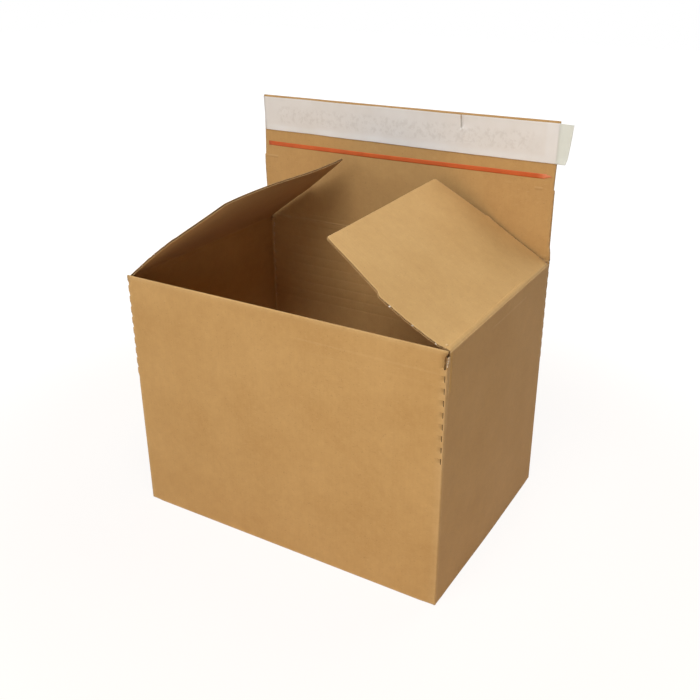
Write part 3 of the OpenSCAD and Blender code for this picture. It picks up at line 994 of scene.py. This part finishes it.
def skinPath(label, outerSide):
    along, out = flapFrame(label)
    side = {"left": Vector((-1, 0, 0)), "right": Vector((1, 0, 0)), "back": Vector((0, 1, 0))}[label]
    up = Vector((0, 0, 1))
    down, reach = crease["wallReach"], crease["flapReach"]
    points = []
    if outerSide:
        stops = [(-down, -crease["sink"]), (-down + 1.5, crease["proud"]), (-2.2, crease["proud"]),
                 (-1.1, crease["proud"] * 0.8)]
        points += [(up * a + side * b, side) for a, b in stops]
        for k in range(1, 6):
            t = k / 6
            bend = (side * (1 - t) + out * t).normalized()
            cut = (up * (-1.1 * (1 - t) ** 1.3) + along * (1.1 * t ** 1.3))
            points.append((cut + bend * crease["proud"] * 0.5, bend))
        stops = [(1.1, crease["proud"] * 0.8), (2.2, crease["proud"]), (reach - 1.5, crease["proud"]),
                 (reach, -crease["sink"])]
        points += [(along * a + out * b, out) for a, b in stops]
        return points
    thick = flapSizes["thick"]
    wallIn, flapIn = side * -thick, out * -thick
    stops = [(-down - 1.7, crease["sink"]), (-down - 0.3, -crease["proud"]), (-2.9, -crease["proud"] * 1.2),
             (-2.0, -crease["proud"])]
    points += [(up * a + wallIn + side * b, -side) for a, b in stops]
    first, last = up * -2.0 + wallIn, along * 2.4 + flapIn
    for k in range(1, 10):
        t = k / 10
        bend = (-side * (1 - t) - out * t).normalized()
        spread = (first - last).length
        dip = -0.3 * math.sin(math.pi * t) + 0.6 * math.exp(-((t - 0.5) / 0.16) ** 2) * min(1.0, spread / 4)
        points.append((first.lerp(last, t) + bend * (dip * 0.8 + crease["proud"]), bend))
    stops = [(2.4, -crease["proud"]), (3.4, -crease["proud"] * 1.2), (reach + 0.5, -crease["proud"]),
             (reach + 1.9, crease["sink"])]
    points += [(along * a + flapIn + out * b, -out) for a, b in stops]
    return points


def creaseSkin(label, outerSide):
    p = flapPlaces[label]
    path = skinPath(label, outerSide)
    low, high = (0.4, 305.6) if label == "back" else (4.0, 216.4)
    stations = [low + (high - low) * k / 44 for k in range(45)]
    near, far = [], []
    base = Vector(p["hinge"])
    for s in stations:
        nearColumn, farColumn = [], []
        for k, (offset, face) in enumerate(path):
            ripple = 0.07 * wobble(s, k * 2.0, 0.22, p["seed"] + (3 if outerSide else 8))
            place = base + Vector(p["across"]) * s + offset + face * ripple
            nearColumn.append(tuple(place))
            farColumn.append(tuple(place - face * crease["paper"]))
        near.append(nearColumn)
        far.append(farColumn)
    distances = [0.0]
    for before, after in zip(path, path[1:]):
        distances.append(distances[-1] + (after[0] - before[0]).length)
    middle = distances[-1] / 2
    kind = flapMaterials[label][0 if outerSide else 1]
    name = label + ("_crease_out" if outerSide else "_crease_in")

    def rubbed(i, j, layer):
        away = abs(distances[j] - middle)
        return (0.65 if outerSide else 0.45) * max(0.0, 1 - away / 2.4)

    leftHanded = label in ("left", "back")
    skin = gridShell(name, near, far, lambda i, j: True,
                     lambda i, j: (stations[i], distances[j] - middle + 40), [kind, flutePaper, cutPaper],
                     rubbed, flip=(outerSide == leftHanded))
    wallDirection = Vector((0, 0, -1))
    along, out = flapFrame(label)
    side = {"left": Vector((-1, 0, 0)), "right": Vector((1, 0, 0)), "back": Vector((0, 1, 0))}[label]
    span = 1.6 if outerSide else 2.1
    start = base + wallDirection * span - (Vector() if outerSide else side * flapSizes["thick"])
    end = base + along * span - (Vector() if outerSide else out * flapSizes["thick"])
    middleAcross = Vector(p["across"]) * (p["wide"] / 2)
    tuple((start + middleAcross) * mm)
    tuple((end + middleAcross) * mm)
    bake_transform(skin)
    return skin


for label in ("left", "right", "back"):
    for outerSide in (True, False):
        creaseSkin(label, outerSide)
print("creases made")


# Torn fibres: fine hairs scattered along the torn edges by a node tree
fibres = {"length": 0.75, "thick": 0.06, "spacing": 0.42, "seed": 5}


def fibreTree():
    tree = bpy.data.node_groups.new("tornFibres", "GeometryNodeTree")
    tree.interface.new_socket(name="Geometry", in_out="INPUT", socket_type="NodeSocketGeometry")
    for name in ("Spacing", "Length", "Thick"):
        tree.interface.new_socket(name=name, in_out="INPUT", socket_type="NodeSocketFloat")
    tree.interface.new_socket(name="Seed", in_out="INPUT", socket_type="NodeSocketInt")
    tree.interface.new_socket(name="Finish", in_out="INPUT", socket_type="NodeSocketMaterial")
    tree.interface.new_socket(name="Geometry", in_out="OUTPUT", socket_type="NodeSocketGeometry")
    graph = Graph(tree)
    given = tree.nodes.new("NodeGroupInput")
    value = {s.name: Wire(graph, s) for s in given.outputs if s.name}
    line = graph.add("GeometryNodeMeshToCurve", None, {"Mesh": value["Geometry"]}, "Curve")
    points = graph.add("GeometryNodeCurveToPoints", {"mode": "LENGTH"}, {"Curve": line, "Length": value["Spacing"]},
                       "Points")
    seed = value["Seed"]
    jitter = graph.add("FunctionNodeRandomValue", {"data_type": "FLOAT_VECTOR"}, {
        "Min": (-0.0003, -0.0003, -0.0003), "Max": (0.0003, 0.0003, 0.0003), "Seed": seed}, "Value")
    points = graph.add("GeometryNodeSetPosition", None, {"Geometry": points, "Offset": jitter})
    hair = graph.add("GeometryNodeMeshCone", None, {"Vertices": 3, "Side Segments": 2, "Radius Top": 0.15,
                                                    "Radius Bottom": 0.5, "Depth": 1.0}, "Mesh")
    bent = graph.add("ShaderNodeSeparateXYZ", None, {"Vector": graph.add("GeometryNodeInputPosition")}, "Z")
    hair = graph.add("GeometryNodeSetPosition", None, {"Geometry": hair, "Offset": graph.add(
        "ShaderNodeCombineXYZ", None, {"X": bent * bent * 3.0, "Y": bent * bent * -1.6, "Z": 0.0})})
    turn = graph.add("FunctionNodeRandomValue", {"data_type": "FLOAT_VECTOR"}, {
        "Min": (0.0, 0.0, 0.0), "Max": (6.283, 6.283, 6.283), "Seed": seed + 3.0}, "Value")
    size = graph.add("FunctionNodeRandomValue", {"data_type": "FLOAT"},
                     {"Min": 0.45, "Max": 1.3, "Seed": seed + 9.0}, "Value")
    stretch = graph.add("ShaderNodeCombineXYZ", None, {"X": value["Thick"] * size, "Y": value["Thick"] * size,
                                                       "Z": value["Length"] * size})
    placed = graph.add("GeometryNodeInstanceOnPoints", None, {"Points": points, "Instance": hair, "Rotation": turn,
                                                              "Scale": stretch})
    real = graph.add("GeometryNodeRealizeInstances", None, {"Geometry": placed})
    dressed = graph.add("GeometryNodeSetMaterial", None, {"Geometry": real, "Material": value["Finish"]})
    given = tree.nodes.new("NodeGroupOutput")
    tree.links.new(dressed.socket, given.inputs[0])
    return tree


hairs = fibreTree()


def lineMesh(name, lines):
    points, edges = [], []
    for line in lines:
        first = len(points)
        points += [tuple(Vector(p) * mm) for p in line]
        edges += [(first + k, first + k + 1) for k in range(len(line) - 1)]
    mesh = bpy.data.meshes.new(name)
    mesh.from_pydata(points, edges, [])
    return mesh


def bridgeLines(label, which):
    p = flapPlaces[label]
    lines = []
    for i in range(tearing["bridges"]):
        low = tearing["first"] + i * tearing["pitch"] + tearing["cut"]
        low, high = low + 0.3, low + 4.7
        for t in (0.2, 1.4):
            line = []
            for k in range(4):
                u = low + (high - low) * k / 3
                s = flapInsets(label, u, which) + 0.1
                line.append(flapPoint(label, p["wide"] - s if which else s, u, t))
            lines.append(line)
    return lines


def addFibres(name, body, lines, spacing, length, finish, seed):
    thing = grow(name, hairs, {"Spacing": spacing * mm, "Length": length * mm, "Thick": fibres["thick"] * mm,
                               "Seed": seed, "Finish": finish}, lineMesh(name + "Line", lines))
    return settle(thing, body, "board")


for label in ("left", "right", "back"):
    addFibres(label + "_fibres", label, bridgeLines(label, 0) + bridgeLines(label, 1), fibres["spacing"],
              fibres["length"], cutPaper, fibres["seed"] + len(label))
cornerLines = []
for column, kind in enumerate(stationKinds):
    if kind[1] in ("cutNear", "cutFar"):
        for i in range(walls["cutCount"]):
            base = walls["cutMiddle"] + i * walls["cutPitch"]
            if kind[0] == 0 and base > 215:
                continue
            line = []
            for z in (base - 2.4, base, base + 2.4):
                x, y = stationPoint(column, z, 0, 0.2)
                line.append((x, y, z))
            cornerLines.append(line)
addFibres("corner_fibres", "box", cornerLines, 0.5, 0.55, cutPaper, 17)
farColumn = stationKinds.index((0, "cutFar", 0))
tornLine = [(*stationPoint(farColumn, z, 0, 0.3), z) for z in (219.4, 221, 222.5, 224.5, 226, 227)]
addFibres("torn_corner_fibres", "box", [tornLine, [(x + 0.4, y + 1.2, z) for x, y, z in tornLine]], 0.14, 1.1,
          tornPaper, 29)
print("fibres scattered")


# Shreds of white paper, left where the bridges tore: a node tree crumples a flake at each place
shreds = {
    "right": [(0, 11.9, 1.6), (0, 33.5, 1.9), (0, 55.3, 1.9), (1, 22.0, 0.8), (1, 41.5, 0.7)],
    "left": [(0, 20.5, 1.0), (0, 40.0, 0.9), (1, 30.5, 0.8), (0, 55.0, 0.8)],
    "back": [(0, 11.0, 0.6), (1, 30.0, 0.7)],
    "cornerHeights": [219.6, 221.2, 222.6, 224.0, 225.4, 226.6],
}


def shredTree():
    tree = bpy.data.node_groups.new("shreds", "GeometryNodeTree")
    tree.interface.new_socket(name="Geometry", in_out="INPUT", socket_type="NodeSocketGeometry")
    for name in ("Size", "Crumple"):
        tree.interface.new_socket(name=name, in_out="INPUT", socket_type="NodeSocketFloat")
    tree.interface.new_socket(name="Seed", in_out="INPUT", socket_type="NodeSocketInt")
    tree.interface.new_socket(name="Finish", in_out="INPUT", socket_type="NodeSocketMaterial")
    tree.interface.new_socket(name="Geometry", in_out="OUTPUT", socket_type="NodeSocketGeometry")
    graph = Graph(tree)
    given = tree.nodes.new("NodeGroupInput")
    value = {s.name: Wire(graph, s) for s in given.outputs if s.name}
    flake = graph.add("GeometryNodeMeshIcoSphere", None, {"Radius": 0.5, "Subdivisions": 3}, "Mesh")
    flake = graph.add("GeometryNodeTransform", None, {"Geometry": flake, "Scale": (1.0, 0.8, 0.3)})
    size = graph.add("GeometryNodeInputNamedAttribute", {"data_type": "FLOAT"}, {"Name": "size"}, "Attribute")
    turn = graph.add("FunctionNodeRandomValue", {"data_type": "FLOAT_VECTOR"}, {
        "Min": (0.0, 0.0, 0.0), "Max": (6.283, 6.283, 6.283), "Seed": value["Seed"]}, "Value")
    placed = graph.add("GeometryNodeInstanceOnPoints", None, {
        "Points": graph.add("GeometryNodeMeshToPoints", None, {"Mesh": value["Geometry"]}), "Instance": flake,
        "Rotation": turn, "Scale": graph.add("ShaderNodeCombineXYZ", None, {
            "X": size * value["Size"], "Y": size * value["Size"], "Z": size * value["Size"]})})
    real = graph.add("GeometryNodeRealizeInstances", None, {"Geometry": placed})
    rough = graph.add("ShaderNodeTexNoise", {"noise_dimensions": "3D"}, {
        "Vector": graph.add("GeometryNodeInputPosition"), "Scale": 1900.0, "Detail": 2.0}, "Color")
    shift = graph.add("ShaderNodeVectorMath", {"operation": "SUBTRACT"}, {0: rough, 1: (0.5, 0.5, 0.5)})
    shift = graph.add("ShaderNodeVectorMath", {"operation": "SCALE"}, {0: shift, "Scale": value["Crumple"]})
    moved = graph.add("GeometryNodeSetPosition", None, {"Geometry": real, "Offset": shift})
    dressed = graph.add("GeometryNodeSetMaterial", None, {"Geometry": moved, "Material": value["Finish"]})
    given = tree.nodes.new("NodeGroupOutput")
    tree.links.new(dressed.socket, given.inputs[0])
    return tree


flakes = shredTree()


def addShreds(name, body, places, seed):
    mesh = bpy.data.meshes.new(name + "Places")
    mesh.from_pydata([tuple(Vector(p[:3]) * mm) for p in places], [], [])
    mesh.attributes.new("size", "FLOAT", "POINT").data.foreach_set("value", [p[3] for p in places])
    thing = grow(name, flakes, {"Size": mm, "Crumple": 0.9 * mm, "Seed": seed, "Finish": tornPaper}, mesh)
    for face in thing.data.polygons:
        face.use_smooth = True
    return settle(thing, body, "board")


for label in ("left", "right", "back"):
    places = []
    for which, u, size in shreds[label]:
        s = flapInsets(label, u, which) - 0.1
        s = flapPlaces[label]["wide"] - s if which else s
        places.append((*flapPoint(label, s, u, 0.7), size))
    addShreds(label + "_shreds", label, places, 41 + len(label))
cornerPlaces = []
for k, z in enumerate(shreds["cornerHeights"]):
    x, y = stationPoint(farColumn, z, 0, 0.9)
    cornerPlaces.append((x + 0.25, y, z, 1.9 - 0.1 * k))
addShreds("corner_shreds", "box", cornerPlaces, 53)
print("shreds made")


# Tear strip across the lid, its right end frayed
tearStrip = {"at": 78.9, "from": 3.0, "to": 301.5, "thick": 0.14, "tone": srgb(222, 107, 48),
             "shade": srgb(200, 89, 39), "frayed": 9.0}


def stripMaterial():
    material, graph = newMaterial("tearTape")
    where = graph.add("ShaderNodeTexCoord", None, None, "Object")
    flat = graph.add("ShaderNodeUVMap", {"uv_map": "board"}, None, "UV")
    across = graph.add("ShaderNodeSeparateXYZ", None, {"Vector": flat}, "Y")
    soft = graph.grain(where, 70.0, 2.0, 0.5)
    fine = graph.grain(where, 900.0, 2.0, 0.6)
    threads = graph.add("ShaderNodeMath", {"operation": "SINE"}, {0: across * (2 * math.pi / 0.0007)})
    worn = graph.add("ShaderNodeAttribute", {"attribute_name": "worn"}, None, "Fac")
    colour = graph.mixColour(0.5 + (soft - 0.5) * 1.5 + threads * 0.12 + (fine - 0.5) * 0.4, tearStrip["shade"],
                             tearStrip["tone"])
    colour = graph.mixColour(worn * 0.75, colour, srgb(236, 150, 110))
    bump = graph.add("ShaderNodeBump", None,
                     {"Strength": 0.25, "Distance": 0.0001, "Height": threads * 0.5 + fine * 0.5})
    finishMaterial(graph, {"Base Color": colour, "Roughness": 0.42 + fine * 0.2, "Normal": bump},
                   {"Specular IOR Level": 0.4})
    return material


stripFinish = stripMaterial()
stripWhole = tearStrip["to"] - tearStrip["frayed"] - tearStrip["from"]
stripStops = [tearStrip["from"] + stripWhole * k / 60 for k in range(61)]
stripRows = [-2.1, -1.3, -0.5, 0.5, 1.3, 2.1]
endStops = [tearStrip["to"] - tearStrip["frayed"] * (1 - k / 6) for k in range(1, 7)]
strandEnds = [0.34, 0.7, 1.0, 0.84, 0.5]


def stripPoint(x, v, layer):
    wave = 0.22 * wobble(x, 0, 0.02, 12)
    lift = 0.12 * abs(wobble(x, v, 0.12, 14)) + (0.35 * smooth(x, 296, 301) if v > 0 else 0.0)
    depth = flapSizes["thick"] + 0.02 + (0.0 if layer else tearStrip["thick"]) + lift
    return flapPoint("back", x, tearStrip["at"] + v + wave, depth)


allStops = stripStops + endStops
stripNear = [[stripPoint(x, v, 0) for v in stripRows] for x in allStops]
stripFar = [[stripPoint(x, v, 1) for v in stripRows] for x in allStops]


def stripSolid(i, j):
    if i < len(stripStops) - 1:
        return True
    return (i - len(stripStops) + 2) / 6 <= strandEnds[j]


tape = gridShell("tear_tape", stripNear, stripFar, stripSolid, lambda i, j: (allStops[i], stripRows[j]),
                 [stripFinish, stripFinish, stripFinish],
                 lambda i, j, layer: smooth(allStops[i], 290, 296) * 0.9, flip=False)
settle(tape, "back", "tear_strip", "tear_strip")
print("tear strip made")


# Adhesive band, under the liner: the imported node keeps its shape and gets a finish
def glueMaterial():
    material, graph = newMaterial("adhesiveBand")
    where = graph.add("ShaderNodeTexCoord", None, None, "Object")
    drawn = graph.add("ShaderNodeMapping", None, {"Vector": where, "Scale": (1.0, 9.0, 9.0)})
    streaks = graph.grain(drawn, 60.0, 3.0, 0.6)
    fine = graph.grain(where, 800.0, 2.0, 0.6)
    colour = graph.mixColour(0.5 + (streaks - 0.5) * 1.5, srgb(196, 190, 178), srgb(216, 210, 198))
    bump = graph.add("ShaderNodeBump", None, {"Strength": 0.3, "Distance": 0.0002, "Height": streaks + fine * 0.4})
    finishMaterial(graph, {"Base Color": colour, "Roughness": 0.3 + fine * 0.3, "Normal": bump})
    return material


glueNode = frame["nodes"]["adhesive_strip"]
glueNode.data.materials.clear()
glueNode.data.materials.append(glueMaterial())


# Release liner: thin silicone paper, its end past the lid's edge and curled
liner = {"edge": 1.4, "wide": 35, "end": 317.5, "slant": 3.4, "thick": 0.12, "gap": 0.34, "slit": 215.2,
         "raised": 2.2, "curl": 1.9, "tone": srgb(247, 247, 247), "shade": srgb(233, 230, 226),
         "showThrough": srgb(198, 193, 188)}
linerBottom = flapSizes["length"] - liner["edge"] - liner["wide"]


def linerMaterial():
    material, graph = newMaterial("releaseLiner")
    where = graph.add("ShaderNodeTexCoord", None, None, "Object")
    flat = graph.add("ShaderNodeUVMap", {"uv_map": "board"}, None, "UV")
    across = graph.add("ShaderNodeSeparateXYZ", None, {"Vector": flat}, "X")
    up = graph.add("ShaderNodeSeparateXYZ", None, {"Vector": flat}, "Y")
    clouds = graph.grain(where, 45.0, 3.0, 0.6)
    squeezed = graph.add("ShaderNodeMapping", None, {"Vector": flat, "Scale": (1.0, 0.75, 1.0)})
    blotches = graph.grain(squeezed, 210.0, 2.0, 0.7)
    fine = graph.grain(where, 1100.0, 2.0, 0.6)
    band = graph.fade(up, 0.0975, 0.102) * (1 - graph.fade(up, 0.114, 0.1185)) \
        * graph.fade(across, 0.012, 0.024) * (1 - graph.fade(across, 0.272, 0.292))
    mottle = band * graph.fade(blotches, 0.44, 0.66)
    glued = graph.fade(up, 0.0945, 0.0985) * (1 - graph.fade(across, 0.292, 0.296))
    beyond = graph.fade(across, 0.3035, 0.3055)
    colour = graph.mixColour(clouds, liner["shade"], liner["tone"])
    colour = graph.mixColour(mottle * 0.28, colour, liner["showThrough"])
    colour = graph.mixColour(glued * 0.12, colour, srgb(214, 196, 176))
    colour = graph.mixColour(beyond * 0.55, colour, srgb(232, 236, 230))
    bump = graph.add("ShaderNodeBump", None, {"Strength": 0.2, "Distance": 0.0004, "Height": clouds + fine * 0.15
                                              + mottle * 0.1})
    body = graph.add("ShaderNodeBsdfPrincipled", None, {"Base Color": colour, "Roughness": 0.42 + fine * 0.15,
                                                        "Normal": bump, "Specular IOR Level": 0.35})
    glow = graph.add("ShaderNodeBsdfTranslucent", None, {"Color": (*srgb(236, 238, 230), 1), "Normal": bump})
    mixed = graph.add("ShaderNodeMixShader", None, {0: beyond * 0.38, 1: body, 2: glow})
    graph.add("ShaderNodeOutputMaterial", None, {"Surface": mixed})
    return material


linerStops = sorted([1.0, 3.0, 8.0] + [14.0 + 10 * k for k in range(20)]
                    + [207.5, 210.0, 212.7, 214.9, 215.5, 217.7, 220.2, 223.0, 227.0, 234, 244, 254, 264, 274, 284,
                       292, 298, 301, 303, 305, 307, 309, 311, 313, 315, 316.5, liner["end"]])
linerRows = [0.0, 0.5, 2.0, 4.5, 8.0, 12.0, 16.0, 20.0, 22.9, 24.5, 27.0, 30.0, 33.0, 34.5, 35.0]


def linerPoint(x, v, layer):
    endShift = liner["slant"] * (1 - v / liner["wide"]) * smooth(x, 300, liner["end"])
    shown = x - endShift
    lift = 0.16 * abs(wobble(x, v, 0.05, 31))
    lift += 0.25 * smooth(abs(v - 17.5), 12, 17.5) * (0.4 + wobble(x, 2, 0.03, 35))
    past = smooth(x, 301, 318)
    lift += liner["curl"] * past * past * (0.5 + 0.8 * abs(v / liner["wide"] - 0.55))
    crumple = math.exp(-((x - 218.4) / 3.4) ** 2 - ((v - 21.0) / 3.0) ** 2)
    lift += 1.5 * crumple * (0.6 + 0.8 * wobble(x, v, 0.5, 38))
    near = math.exp(-((x - 214.2) / 2.2) ** 2) * smooth(v, 22, 35)
    lift += 0.35 * near * (1 if x < liner["slit"] else 0.2)
    shown -= 0.5 * math.exp(-((x - 215.2) / 3.0) ** 2) * smooth(v, 22, 35)
    droop = 0.5 * past * past * (1 - v / liner["wide"]) + 0.4 * wobble(x, 1, 0.02, 36)
    curlEdge = 1.08 * past * smooth(v, 6, 0)
    shown += -0.8 * past * smooth(v, 5, 0)
    edgeWave = 0.18 * wobble(x, v, 0.06, 39)
    edgeWave += liner["raised"] * (1 - v / liner["wide"]) * (1 - 0.8 * smooth(x, 0, 306))
    depth = flapSizes["thick"] + liner["gap"] + (0.0 if layer else liner["thick"]) + max(0.0, lift) + curlEdge
    return flapPoint("back", shown, linerBottom + v + droop + edgeWave, depth)


slitColumn = max(k for k, x in enumerate(linerStops) if x < liner["slit"])
linerShell = gridShell("liner_sheet", [[linerPoint(x, v, 0) for v in linerRows] for x in linerStops],
                       [[linerPoint(x, v, 1) for v in linerRows] for x in linerStops],
                       lambda i, j: not (i == slitColumn and linerRows[j] > 22.8),
                       lambda i, j: (linerStops[i], linerBottom + linerRows[j]), [linerMaterial()], None, flip=False)
settle(linerShell, "back", "liner", "release_liner")
print("liner made")


# Floor, background and light
stage = {
    "floorTone": (0.78, 0.62, 0.47), "floorGlow": 1.1, "nearFloor": 0.8, "fadeFrom": 0.3, "fadeTo": 0.7,
    "sky": 0.04, "skyTone": (1.0, 0.8, 0.62),
}
# Each lamp: place, target, size, energy, tone
lamps = {
    "keyLamp": ((0.2, -0.64, 1.4), (0.0, 0.0, 0.2), (0.8, 0.8), 12.6, (1, 1, 1)),
    "fillLamp": ((0.45, -0.85, 0.3), (0.0, 0.0, 0.2), (0.5, 0.5), 0.6, (1.0, 0.84, 0.66)),
    "leftLamp": ((-0.7, -1.2, 0.7), (0.0, 0.0, 0.2), (0.5, 0.5), 2.1, (1, 1, 1)),
    "frontLamp": ((0.0, -1.3, 0.45), (0.0, 0.0, 0.2), (0.5, 0.5), 2.6, (1, 1, 1)),
    "topLamp": ((0.3, 0.6, 1.4), (0.0, 0.0, 0.2), (0.7, 0.7), 6.5, (1, 1, 1)),
    "backLamp": ((-0.4, 1.5, 0.7), (0.0, 0.0, 0.1), (1.0, 1.0), 5.0, (1, 1, 1)),
}


# One where a thing is seen by the camera, in a reflection or through glass, else zero
def seenDirectly(graph):
    path = graph.tree.nodes.new("ShaderNodeLightPath")
    rays = {s.name: Wire(graph, s) for s in path.outputs}
    seen = graph.add("ShaderNodeMath", {"operation": "MAXIMUM"}, {0: rays["Is Camera Ray"], 1: rays["Is Glossy Ray"]})
    return graph.add("ShaderNodeMath", {"operation": "MAXIMUM"}, {0: seen, 1: rays["Is Transmission Ray"]})


floorMesh = bpy.data.meshes.new("floor")
floorMesh.from_pydata([(-4, -4, 0), (4, -4, 0), (4, 4, 0), (-4, 4, 0)], [], [(0, 1, 2, 3)])
floor = bpy.data.objects.new("floor", floorMesh)
bpy.context.scene.collection.objects.link(floor)
floor.location.z = -0.0002
floorMaterial, floorGraph = newMaterial("floorWhite")
direct = seenDirectly(floorGraph)
dull = floorGraph.add("ShaderNodeBsdfDiffuse", None, {"Color": (*stage["floorTone"], 1)})
white = floorGraph.add("ShaderNodeEmission", None, {"Color": (1, 1, 1, 1), "Strength": stage["floorGlow"]})
away = floorGraph.add("ShaderNodeVectorMath", {"operation": "LENGTH"}, {0: floorGraph.add(
    "ShaderNodeTexCoord", None, None, "Object")}, "Value")
away = floorGraph.fade(away, stage["fadeFrom"], stage["fadeTo"])
whiteShare = direct * (stage["nearFloor"] + (1 - stage["nearFloor"]) * away)
floorGraph.add("ShaderNodeOutputMaterial", None, {"Surface": floorGraph.add(
    "ShaderNodeMixShader", None, {0: whiteShare, 1: dull, 2: white})})
floorMesh.materials.append(floorMaterial)

world = bpy.data.worlds.new("studio")
bpy.context.scene.world = world
world.use_nodes = True
world.node_tree.nodes.clear()
worldGraph = Graph(world.node_tree)
direct = seenDirectly(worldGraph)
soft = worldGraph.add("ShaderNodeBackground", None, {"Color": (*stage["skyTone"], 1), "Strength": stage["sky"]})
plain = worldGraph.add("ShaderNodeBackground", None, {"Color": (1, 1, 1, 1), "Strength": 1.0})
worldGraph.add("ShaderNodeOutputWorld", None, {"Surface": worldGraph.add(
    "ShaderNodeMixShader", None, {0: direct, 1: soft, 2: plain})})

for name, (place, target, size, energy, tone) in lamps.items():
    data = bpy.data.lights.new(name, "AREA")
    data.shape = "RECTANGLE"
    data.size, data.size_y = size
    data.energy, data.color = energy, tone
    lamp = bpy.data.objects.new(name, data)
    lamp.location = place
    lamp.rotation_euler = (Vector(target) - Vector(place)).to_track_quat("-Z", "Y").to_euler()
    bpy.context.scene.collection.objects.link(lamp)
bpy.context.scene.view_settings.view_transform = "Standard"
print("stage and light set")
